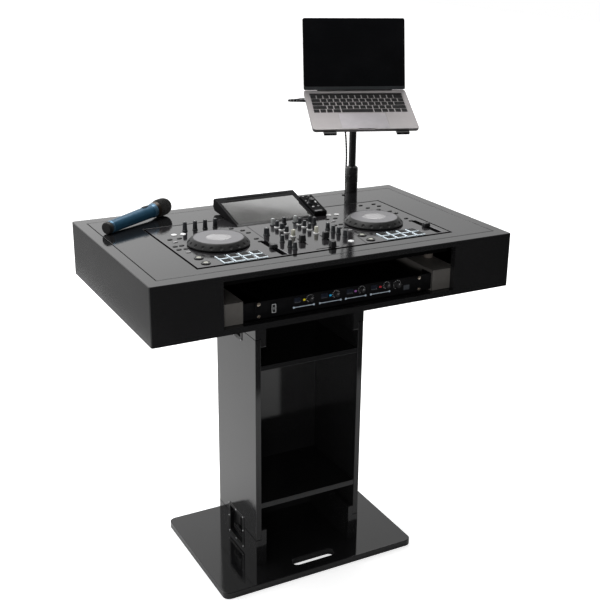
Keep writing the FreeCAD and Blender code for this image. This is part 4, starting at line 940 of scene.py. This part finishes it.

# Console screen: a matt black moulded wedge with a display let into its sloping face, and a control strip at
# its right. A slot and a trim line are let into the bezel behind the display, and small buttons stand round
# the browse knob. The white oval and the pale oval level with the knob at its two sides are painted glints.
SCREEN_FRONT, SCREEN_SLOPE = (0.072, 0.971), 0.0385 / 0.149
BEZEL_SLOT, BEZEL_LINE = ((-0.108, -0.052), 0.1935, 0.0016), ((-0.094, 0.098), 0.2085, 0.0010)
APRON_LOW, APRON_HIGH, APRON_TOP = (-0.1255, 0.0635, 0.9670), (0.1125, 0.0719, 0.9711), 0.06
STRIP_LABEL, LABEL_CORNER, TRIM_LIFT = ((0.117, 0.140), 0.074, 0.003), 0.0008, 0.0003
# The first white entry and the second pale entry, level with the browse knob at its sides, are painted glints of the
# knob.
STRIP_WHITE_AND_GLINTS = [(0.1425, 0.1188, 0.45, 1.1), (0.1233, 0.0958, 0.85, 0.5)]
STRIP_PALE_AND_GLINTS = [(0.1398, 0.0968, 0.75, 0.5), (0.1160, 0.1170, 0.40, 0.6), (0.1175, 0.1300, 0.50, 0.5),
              (0.1202, 0.1535, 0.75, 0.4), (0.1384, 0.1534, 0.75, 0.4), (0.1380, 0.1366, 0.50, 0.5)]
STRIP_DARK = [(0.1295, 0.1455, 0.5, 0.5), (0.1414, 0.1074, 0.5, 0.5), (0.1290, 0.1045, 0.6, 0.5)]
screen_black = surface("matt_black_housing", (0.004, 0.004, 0.0045), 0.5, grain=1200, bump=0.04, patch=12,
                       specular=0.03)
screen_edge = surface("housing_edge", (0.010, 0.010, 0.011), 0.45, patch=60, specular=0.1)
display = surface("display_glass", (0.021, 0.021, 0.019), 0.08, patch=9, spread=0.02, bump=0.0)
dress("screen_housing", screen_black, 0.0008, screen_edge)
dress("screen_glass", display, 0.0003)
apron = block("screen_apron", APRON_LOW, APRON_HIGH)
pick(apron, lambda centre, normal: normal.z > 0.9)
bpy.ops.transform.resize(value=(1, APRON_TOP, 1), center_override=(0, APRON_HIGH[1], APRON_HIGH[2]))
mode("OBJECT")
fit(coloured(eased(apron, FINE_EASE), rim_black), "booth", "console_plastic")


def sloping_plate(span, y, half, corner, front, slope):
    """A thin plate that lies on a sloping face."""
    flat = plate("trim", (span[0], -half, 0.0), (span[1], half, TRIM_LIFT), corner)
    return moved(flat, tilted(0.0, y, front, slope))


trims = [coloured(sloping_plate(span, y, half, half * 0.9, SCREEN_FRONT, SCREEN_SLOPE), felt)
         for span, y, half in (BEZEL_SLOT, BEZEL_LINE)]
fit(joined("bezel_trims", trims), "booth", "console_plastic")
strip_caps = []
for spots, finish in ((STRIP_WHITE_AND_GLINTS, white_cap), (STRIP_PALE_AND_GLINTS, pale_cap), (STRIP_DARK, button_black)):
    places = [tilted(x, y, STRIP_FRONT, STRIP_SLOPE) @ Matrix.Diagonal((wide, deep, 1.0, 1.0))
              for x, y, wide, deep in spots]
    strip_caps.append(copied(coloured(turned("cap", BUTTON_PROFILE, 24), finish), "strip_caps", places))
label = sloping_plate(*STRIP_LABEL, LABEL_CORNER, STRIP_FRONT, STRIP_SLOPE)
strip_caps.append(coloured(label, plate_grey))
fit(joined("strip_buttons", strip_caps), "booth", "button_plastic")

# Mast: a black lacquered tube let into the back rim, a collar that grips, and a rod that slides in it.
# A rubber plug closes a spare lead hole in the top beside it.
MAST = (0.3595, 0.2840)
TUBE = [(0.0125, 0.8330), (0.0130, 0.8335), (0.0130, 0.9670), (0.0176, 0.9670), (0.0180, 0.9674),
        (0.0180, 0.9946), (0.0172, 0.9955)]
CLUTCH = [(0.0174, 0.9955), (0.0176, 0.9959), (0.0184, 0.9967), (0.0184, 1.0180), (0.0180, 1.0184),
          (0.0180, 1.0196), (0.0184, 1.0200), (0.0184, 1.0390), (0.0181, 1.0402), (0.0169, 1.0434),
          (0.0150, 1.0452), (0.0134, 1.0460)]
CLUTCH_GRIP = (40, 0.9967, 1.0180, 0.0004)
ROD = [(0.0102, 0.8930), (0.0110, 0.8938), (0.0110, 1.2742), (0.0102, 1.2750)]
TUBE_BORE = [(0.0116, 0.8350), (0.0116, 1.01)]
CLUTCH_BORE = [(0.0112, 0.98), (0.0112, 1.10)]
PORT_AT, PORT_PLUG = (0.3113, 0.2500), [(0.0050, 0.0), (0.0050, 0.0014), (0.0042, 0.0024), (0.0020, 0.0028)]
lacquer = surface("black_lacquer", 0.012, 0.26, grain=1400, bump=0.06, patch=30)
gloss_lacquer = surface("gloss_rod_lacquer", 0.009, 0.20, grain=900, bump=0.03, patch=25)
tube = carved(turned("mast_tube_turned", TUBE, 64), turned("bore", TUBE_BORE))
clutch = carved(fluted(turned("mast_collar", CLUTCH, 80), *CLUTCH_GRIP), turned("bore", CLUTCH_BORE))
rod = turned("mast_rod_turned", ROD, 64)
for obj, body, node, finish in ((tube, "booth", "mast_tube", lacquer),
                                (clutch, "booth", "mast_clutch", lacquer),
                                (rod, "mast_rod", "mast_rod", gloss_lacquer)):
    fit(moved(coloured(obj, finish), at(*MAST, 0)), body, "mast_metal", node)
port_plug = coloured(turned("spare_hole_plug", PORT_PLUG, 28), rubber)
fit(moved(port_plug, at(*PORT_AT, TOP)), "booth", "rubber")

# Laptop tray: folded steel arms with lipped fronts on a cross plate, powder-coated and welded to a hub that
# turns on the rod.
dress("laptop_tray", powder, 0.0005, powder_edge_highlight)

# Laptop: a base milled from aluminium with a sunk keyboard and a wide touch pad, and a thin lid on a barrel
# hinge. The lid carries a black glass panel with a dark grey strip along the hinge.
LAPTOP = at(0.26895, 0.05655, 1.2018) @ turn(-19.6, "Z") @ turn(22.0, "X")
HINGE = at(0, 0.208, 0.0066)
LID = LAPTOP @ HINGE @ turn(-124.3, "X") @ HINGE.inverted()
BASE_LOW, BASE_HIGH, BASE_CORNER, BASE_ROUND = (-0.152, 0.0, -0.0060), (0.152, 0.212, 0.0040), 0.010, 0.0025
WELL_X, WELL_Y, WELL_FLOOR, CUT_TOP = (-0.1385, 0.1385), (0.0880, 0.1935), 0.0030, 0.006
TOUCH_X, TOUCH_Y, TOUCH_Z, TOUCH_GAP = 0.068, (0.0045, 0.0835), (0.0030, 0.00398), 0.0004
NOTCH_LOW, NOTCH_HIGH = (-0.024, -0.003, 0.0022), (0.024, 0.0030, CUT_TOP)
KEY_UNIT, KEY_GAP, KEY_TOP, STRIP_ROW = 0.0190, 0.0034, 0.00405, 0.0096
KEY_ROWS = ([1.0] * 3 + [1.25, 5.0, 1.25] + [1.0] * 4, [2.25] + [1.0] * 10 + [2.25],
            [1.75] + [1.0] * 11 + [1.75], [1.5] + [1.0] * 13, [1.0] * 13 + [1.5])
FOOT, FOOT_X, FOOT_Y = [(0.0065, 0.0), (0.0065, 0.0004), (0.0050, 0.0008)], 0.140, (0.014, 0.198)
LID_LOW, LID_HIGH, LID_CORNER = (-0.152, 0.002, 0.0046), (0.152, 0.208, 0.0092), 0.006
PANEL_X, PANEL_Y, CHIN_Y, GLASS_BACK = 0.1512, (0.0028, 0.1985), (0.1987, 0.2072), 0.0048
BARREL = [(0.0019, -0.1120), (0.0022, -0.1117), (0.0022, 0.1117), (0.0019, 0.1120)]
aluminium = surface("blasted_aluminium", (0.200, 0.188, 0.188), 0.50, metal=0.55, grain=3000, bump=0.05,
                    patch=10)
aluminium_touch = surface("satin_touch_pad", (0.268, 0.254, 0.265), 0.62, metal=0.2, grain=3000, bump=0.03,
                          patch=14)
key_black = surface("key_black", (0.004, 0.0038, 0.004), 0.6, grain=2600, bump=0.1, patch=150, specular=0.12)
panel_black = surface("panel_glass", (0.0022, 0.0025, 0.0033), 0.10, patch=9, spread=0.02, bump=0.0,
                      specular=0.25)
chin_grey = surface("chin_grey", (0.030, 0.034, 0.036), 0.4, patch=20)
barrel_black = surface("barrel_black", 0.012, 0.5, patch=60)

base = coloured(plate("base", BASE_LOW, BASE_HIGH, BASE_CORNER), aluminium)
pick(base, lambda centre, normal: normal.z < -0.9)
bpy.ops.mesh.bevel(offset=BASE_ROUND, segments=4, affect="EDGES")
mode("OBJECT")
well = plate("well", (WELL_X[0], WELL_Y[0], WELL_FLOOR), (WELL_X[1], WELL_Y[1], CUT_TOP), 0.0025)
notch = plate("notch", NOTCH_LOW, NOTCH_HIGH, 0.0028)
gap = plate("gap", (-TOUCH_X - TOUCH_GAP, TOUCH_Y[0] - TOUCH_GAP, 0.0035),
            (TOUCH_X + TOUCH_GAP, TOUCH_Y[1] + TOUCH_GAP, CUT_TOP), 0.003)
carved(base, well, notch, gap)
touch = coloured(plate("touch", (-TOUCH_X, TOUCH_Y[0], TOUCH_Z[0]), (TOUCH_X, TOUCH_Y[1], TOUCH_Z[1]),
                       0.0028, 2, 0.00015), aluminium_touch)


def key_place(x, y, wide, deep):
    return at(x, y, WELL_FLOOR) @ Matrix.Diagonal((wide, deep, KEY_TOP - WELL_FLOOR, 1.0))


key = eased(block("key", (-0.5, -0.5, 0.0), (0.5, 0.5, 1.0)), 0.06)
places, row_low = [], WELL_Y[0] + 0.0006
for row in KEY_ROWS:
    reach = WELL_X[0] + 0.0007
    for width in row:
        middle = (reach + width * KEY_UNIT / 2, row_low + KEY_UNIT / 2)
        places.append(key_place(*middle, width * KEY_UNIT - KEY_GAP, KEY_UNIT - KEY_GAP))
        reach += width * KEY_UNIT
    row_low += KEY_UNIT
places.append(key_place(0, row_low + STRIP_ROW / 2 - 0.0003, WELL_X[1] - WELL_X[0] - 0.002,
                        STRIP_ROW - 0.0012))
keys = coloured(copied(key, "keys", places), key_black)
feet = copied(coloured(turned("foot", FOOT, 24), rubber), "feet",
              [at(x, y, BASE_LOW[2]) @ turn(180, "X") for x in (-FOOT_X, FOOT_X) for y in FOOT_Y])
laptop = joined("laptop_base_milled", [base, touch, keys, feet])
fit(moved(laptop, LAPTOP), "laptop_stand", "laptop_aluminium", "laptop_base")

lid = eased(plate("lid", LID_LOW, LID_HIGH, LID_CORNER), 0.0010, 3, 60)
panel = plate("panel", (-PANEL_X, PANEL_Y[0], 0.00436), (PANEL_X, PANEL_Y[1], GLASS_BACK), 0.0050, 2, 0.0001)
chin = plate("chin", (-PANEL_X, CHIN_Y[0], 0.00442), (PANEL_X, CHIN_Y[1], GLASS_BACK), 0.0008)
barrel = moved(turned("barrel", BARREL, 24), HINGE @ TO_RIGHT)
for part, finish in ((lid, aluminium), (panel, panel_black), (chin, chin_grey), (barrel, barrel_black)):
    coloured(part, finish)
lid = joined("laptop_lid_panelled", [lid, panel, chin, barrel])
fit(moved(lid, LID), "laptop_lid", "laptop_aluminium", "laptop_lid")

# USB lead: a plug with a moulded tail, and a braided black and white lead that loops to a clip on the rod,
# runs down behind the table and goes through a rubber grommet in its back panel.
LEAD_D, BAND_PITCH, MM = 0.0054, 9.0, 0.001
PLUG_Y, PLUG_Z, PLUG_HALF, SHELL_HALF = 0.168, -0.001, (0.0060, 0.00275), (0.0042, 0.0012)
PLUG_X, SHELL_X, TAIL_X = (-0.1695, -0.1535), (-0.1540, -0.1521), -0.1692
TAIL = [(0.0037, 0.0), (0.0036, 0.0014), (0.0033, 0.0018), (0.0035, 0.0022), (0.0034, 0.0036),
        (0.0031, 0.0040), (0.0033, 0.0044), (0.0032, 0.0058), (0.0030, 0.0062), (0.0031, 0.0066),
        (0.0029, 0.0078)]
LOOP = [(-177.0, 168.0, -1.0), (-185.0, 168.0, -1.0), (-192.2, 170.8, -3.1), (-197.1, 175.8, -6.9),
        (-198.8, 182.1, -11.6), (-196.8, 188.3, -16.2), (-191.7, 193.2, -19.9), (-184.4, 195.8, -21.9),
        (-172.4, 196.5, -22.4), (-153.0, 198.0, -24.3), (-124.0, 203.5, -28.5), (-96.0, 210.0, -35.0),
        (-61.5, 220.9, -42.0), (-42.6, 229.4, -46.5), (-28.8, 236.9, -52.4), (-22.5, 239.8, -56.9),
        (-17.4, 240.7, -63.2), (-14.0, 239.5, -70.7)]
CLIP_TOP = [(24.0, 0.0, 1213.0), (24.0, 0.0, 1201.0)]
DROP = [(24.0, 0.0, 1191.0), (24.0, 0.0, 1179.0), (23.6, 0.2, 1155.0), (20.6, 1.0, 1128.0),
        (18.8, 4.0, 1102.0), (17.8, 8.5, 1080.0), (17.4, 12.5, 1060.0), (18.0, 14.5, 1042.0),
        (18.4, 16.0, 1024.0), (18.4, 18.5, 1004.0), (18.2, 23.0, 984.0)]
BEHIND = [(358.2, 317.8, 965.0), (361.0, 322.0, 947.0), (366.5, 325.5, 929.0), (374.0, 327.0, 914.0),
          (380.5, 327.0, 902.0), (384.0, 327.0, 891.2), (384.0, 324.9, 886.1), (384.0, 320.9, 882.1),
          (384.0, 315.8, 880.0), (384.0, 311.0, 880.0)]
MAST_LEFT, MAST_AWAY = Vector((-0.876, 0.482, 0.0)), Vector((0.482, 0.876, 0.0))
BRAID_DARK, BRAID_LIGHT, BRAID_EDGE = (0.006, 0.006, 0.0065, 1.0), (0.42, 0.42, 0.42, 1.0), (0.72, 0.88)


def plug_block(name, span, half):
    (x0, x1), (y, z) = span, half
    return block(name, (x0, PLUG_Y - y, PLUG_Z - z), (x1, PLUG_Y + y, PLUG_Z + z))


plug_body = eased(plug_block("usb_plug_moulded", PLUG_X, PLUG_HALF), 0.0017, 3)
tail = moved(turned("tail", TAIL, 24), at(TAIL_X, PLUG_Y, PLUG_Z) @ TO_LEFT)
shell = eased(plug_block("shell", SHELL_X, SHELL_HALF), 0.0005)
plug = joined("usb_plug_moulded", [coloured(plug_body, soft_black), coloured(tail, soft_black),
                                   coloured(shell, zinc)])
fit(moved(plug, LAPTOP), "laptop_stand", "plug_plastic", "usb_plug")
dress("lead_clip", rubber, 0.0005)
dress("lead_grommet", rubber, 0.0005)


def beside_mast(left, away, z):
    """A point by its distance to the mast's left and behind it, seen by the player, in millimetres."""
    return Vector((*MAST, z * MM)) + (MAST_LEFT * left + MAST_AWAY * away) * MM


def spline_line(route):
    """Points along one smooth NURBS line with a route's points as its control points."""
    curve = bpy.data.curves.new("route", "CURVE")
    curve.dimensions = "3D"
    curve.resolution_u = 8
    spline = curve.splines.new("NURBS")
    spline.points.add(len(route) - 1)
    for point, where in zip(spline.points, route):
        point.co = (*where, 1.0)
    spline.order_u = 3
    spline.use_endpoint_u = True
    holder = bpy.data.objects.new("route", curve)
    line = bpy.data.meshes.new_from_object(holder)
    points = [vertex.co.copy() for vertex in line.vertices]
    bpy.data.objects.remove(holder)
    bpy.data.curves.remove(curve)
    bpy.data.meshes.remove(line)
    return points


def braided_tube(name, points, radius, sides=14):
    """A round tube along points, with a UV map that runs round it and along it in millimetres."""
    vertices, faces, uvs, runs = [], [], [], [0.0]
    side = (points[1] - points[0]).orthogonal().normalized()
    for index, point in enumerate(points):
        ahead = points[min(index + 1, len(points) - 1)] - points[max(index - 1, 0)]
        ahead.normalize()
        side = (side - ahead * side.dot(ahead)).normalized()
        other = ahead.cross(side)
        for step in range(sides):
            angle = 2 * pi * step / sides
            vertices.append(point + (side * cos(angle) + other * sin(angle)) * radius)
        if index:
            runs.append(runs[-1] + (point - points[index - 1]).length / MM)
    for ring in range(len(points) - 1):
        for step in range(sides):
            a, b = ring * sides + step, ring * sides + (step + 1) % sides
            faces.append((a, b, b + sides, a + sides))
            u0, u1, v0, v1 = step / sides, (step + 1) / sides, runs[ring], runs[ring + 1]
            uvs += [u0, v0, u1, v0, u1, v1, u0, v1]
    last = (len(points) - 1) * sides
    faces.append(tuple(range(sides))[::-1])
    faces.append(tuple(range(last, last + sides)))
    uvs += [0.0] * (4 * sides)
    mesh = bpy.data.meshes.new(name)
    mesh.from_pydata(vertices, [], faces)
    mesh.uv_layers.new(name="braid").data.foreach_set("uv", uvs)
    obj = bpy.data.objects.new(name, mesh)
    scene.collection.objects.link(obj)
    only(obj)
    bpy.ops.object.shade_smooth_by_angle(angle=radians(60))
    return obj


def line_length(points):
    return sum((b - a).length for a, b in zip(points, points[1:]))


braid = surface("braided_jacket", 0.02, 0.7, patch=200, specular=0.03)
tree = braid.node_tree
wrap, apart = added(tree, "UVMap", uv_map="braid"), added(tree, "SeparateXYZ")
lean = added(tree, "Math", {1: 1 / BAND_PITCH}, operation="MULTIPLY_ADD")
wave = added(tree, "Math", {1: 2 * pi}, operation="MULTIPLY")
ridge = added(tree, "Math", operation="SINE")
threads = added(tree, "MapRange", {"From Min": BRAID_EDGE[0], "From Max": BRAID_EDGE[1]})
yarn = added(tree, "Mix", {6: BRAID_DARK, 7: BRAID_LIGHT}, data_type="RGBA")
wire(tree, (wrap.outputs[0], apart.inputs[0]), (apart.outputs["Y"], lean.inputs[0]),
     (apart.outputs["X"], lean.inputs[2]), (lean.outputs[0], wave.inputs[0]),
     (wave.outputs[0], ridge.inputs[0]), (ridge.outputs[0], threads.inputs["Value"]),
     (threads.outputs[0], yarn.inputs[0]),
     (yarn.outputs[2], tree.nodes["Principled BSDF"].inputs["Base Color"]))
upper_route = [LAPTOP @ (Vector(point) * MM) for point in LOOP] + [beside_mast(*point) for point in CLIP_TOP]
lower_route = [beside_mast(*point) for point in DROP] + [Vector(point) * MM for point in BEHIND]
for name, route, node, bodies, far_end, with_pieces in (
        ("lead_above_clip", upper_route, "usb_lead_upper", ("mast_rod", "laptop_stand"), "plug", [plug]),
        ("lead_below_clip", lower_route, "usb_lead_lower", ("booth", "mast_rod"), "object", [])):
    line = spline_line(route[::-1])
    lead = coloured(braided_tube(name, line, LEAD_D / 2), braid)
    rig.replaces(lead, node)
    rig.slot(lead, "lead_jacket")
    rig.blend(lead, *bodies, start=line[0], end=line[-1])
    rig.cord(lead, exit=line[0], length=line_length(line), diameter=LEAD_D, far_end=far_end, stiffness="limp",
            lay="hanging", path=line, with_pieces=with_pieces)

# Microphone: a metallic blue lacquered handle with a black tail, and a black wire basket over foam.
# The basket screws to the handle with a bronze ring, and a dark slide switch stands on the handle's top.
MIC = at(-0.468, 0.1435, 0.98320) @ turn(30.0, "Z") @ turn(90 - 2.386, "Y")
MIC_HANDLE = [(0.0125, 0.0004), (0.0140, 0.0004), (0.0154, 0.0012), (0.0160, 0.0024), (0.0160, 0.0128),
              (0.0156, 0.0134), (0.0156, 0.0142), (0.0161, 0.0149), (0.0166, 0.0200), (0.0174, 0.1020),
              (0.0183, 0.1720), (0.0186, 0.1800), (0.0199, 0.1858), (0.0200, 0.1866), (0.0200, 0.1925),
              (0.0196, 0.1930)]
MIC_RING = [(0.0199, 0.1930), (0.0201, 0.1936), (0.0218, 0.1990), (0.0221, 0.2010), (0.0221, 0.2034),
            (0.0208, 0.2038)]
MIC_BASKET = [(0.0210, 0.2030), (0.0224, 0.2050), (0.0235, 0.2078), (0.0241, 0.2106), (0.0244, 0.2134),
              (0.0245, 0.2164), (0.0245, 0.2194), (0.0245, 0.2224), (0.0245, 0.2254), (0.0244, 0.2284),
              (0.0242, 0.2314), (0.0239, 0.2344), (0.0234, 0.2376), (0.0227, 0.2404), (0.0218, 0.2432),
              (0.0206, 0.2460), (0.0190, 0.2486), (0.0168, 0.2510), (0.0141, 0.2530), (0.0108, 0.2543),
              (0.0070, 0.2549), (0.0030, 0.2551)]
TAIL_END, TAIL_HIGHLIGHT_END, NECK_START, FOAM_INSET, WIRE = 0.0144, 0.0180, 0.1805, 0.0009, 0.0009
SWITCH_LOW, SWITCH_HIGH = (-0.0197, -0.0045, 0.1480), (-0.0165, 0.0045, 0.1680)
blue = surface("metallic_blue", (0.012, 0.060, 0.108), 0.36, metal=0.25, specular=0.3, grain=2400, patch=40)
# The pale blue band at the tail paints the highlight on its chamfer; the band at the neck is a paler blue that partly
# paints the neck's highlight.
pale_band_highlight = surface("pale_blue_ring", (0.065, 0.135, 0.205), 0.30, metal=0.6, patch=90)
bronze = surface("dark_bronze_ring", (0.038, 0.029, 0.022), 0.35, metal=0.7, patch=90)
tail_black = surface("tail_black", 0.010, 0.5, grain=1800, bump=0.2, patch=60, specular=0.3)
wire_black = surface("black_wire", (0.075, 0.073, 0.070), 0.34, metal=0.5, patch=120)
foam = surface("grille_foam", 0.012, 0.9, grain=2600, bump=0.5, patch=120)


def is_painted_highlight_band(centre, normal):
    return centre.z > NECK_START or TAIL_END <= centre.z < TAIL_HIGHLIGHT_END


handle = coloured(turned("handle", MIC_HANDLE, 64), blue, tail_black, pale_band_highlight)
painted(handle, 1, lambda centre, normal: centre.z < TAIL_END)
painted(handle, 2, is_painted_highlight_band)
switch = coloured(plate("switch", SWITCH_LOW, SWITCH_HIGH, 0.0016, 0, 0.0005), tail_black)
handle = joined("microphone_handle_turned", [handle, switch])
fit(moved(handle, MIC), "microphone", "microphone_blue", "microphone_handle")
basket = coloured(turned("basket", MIC_BASKET, 44), wire_black)
lattice = basket.modifiers.new("lattice", "WIREFRAME")
lattice.thickness, lattice.offset, lattice.use_even_offset = WIRE, -1.0, False
apply_all(basket)
core = coloured(turned("core", [(r - FOAM_INSET, d) for r, d in MIC_BASKET], 44), foam)
ring = coloured(turned("ring", MIC_RING, 64), bronze)
grille = joined("microphone_basket", [basket, core, ring])
fit(moved(grille, MIC), "microphone", "microphone_mesh", "microphone_grille")

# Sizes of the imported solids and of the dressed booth, for comparison.
low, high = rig.bounds()
boxes = {"cad_box": [list(cad_low), list(cad_high)], "visual_box": [list(low), list(high)]}
with open("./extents.json", "w") as out:
    json.dump(boxes, out, indent=1)
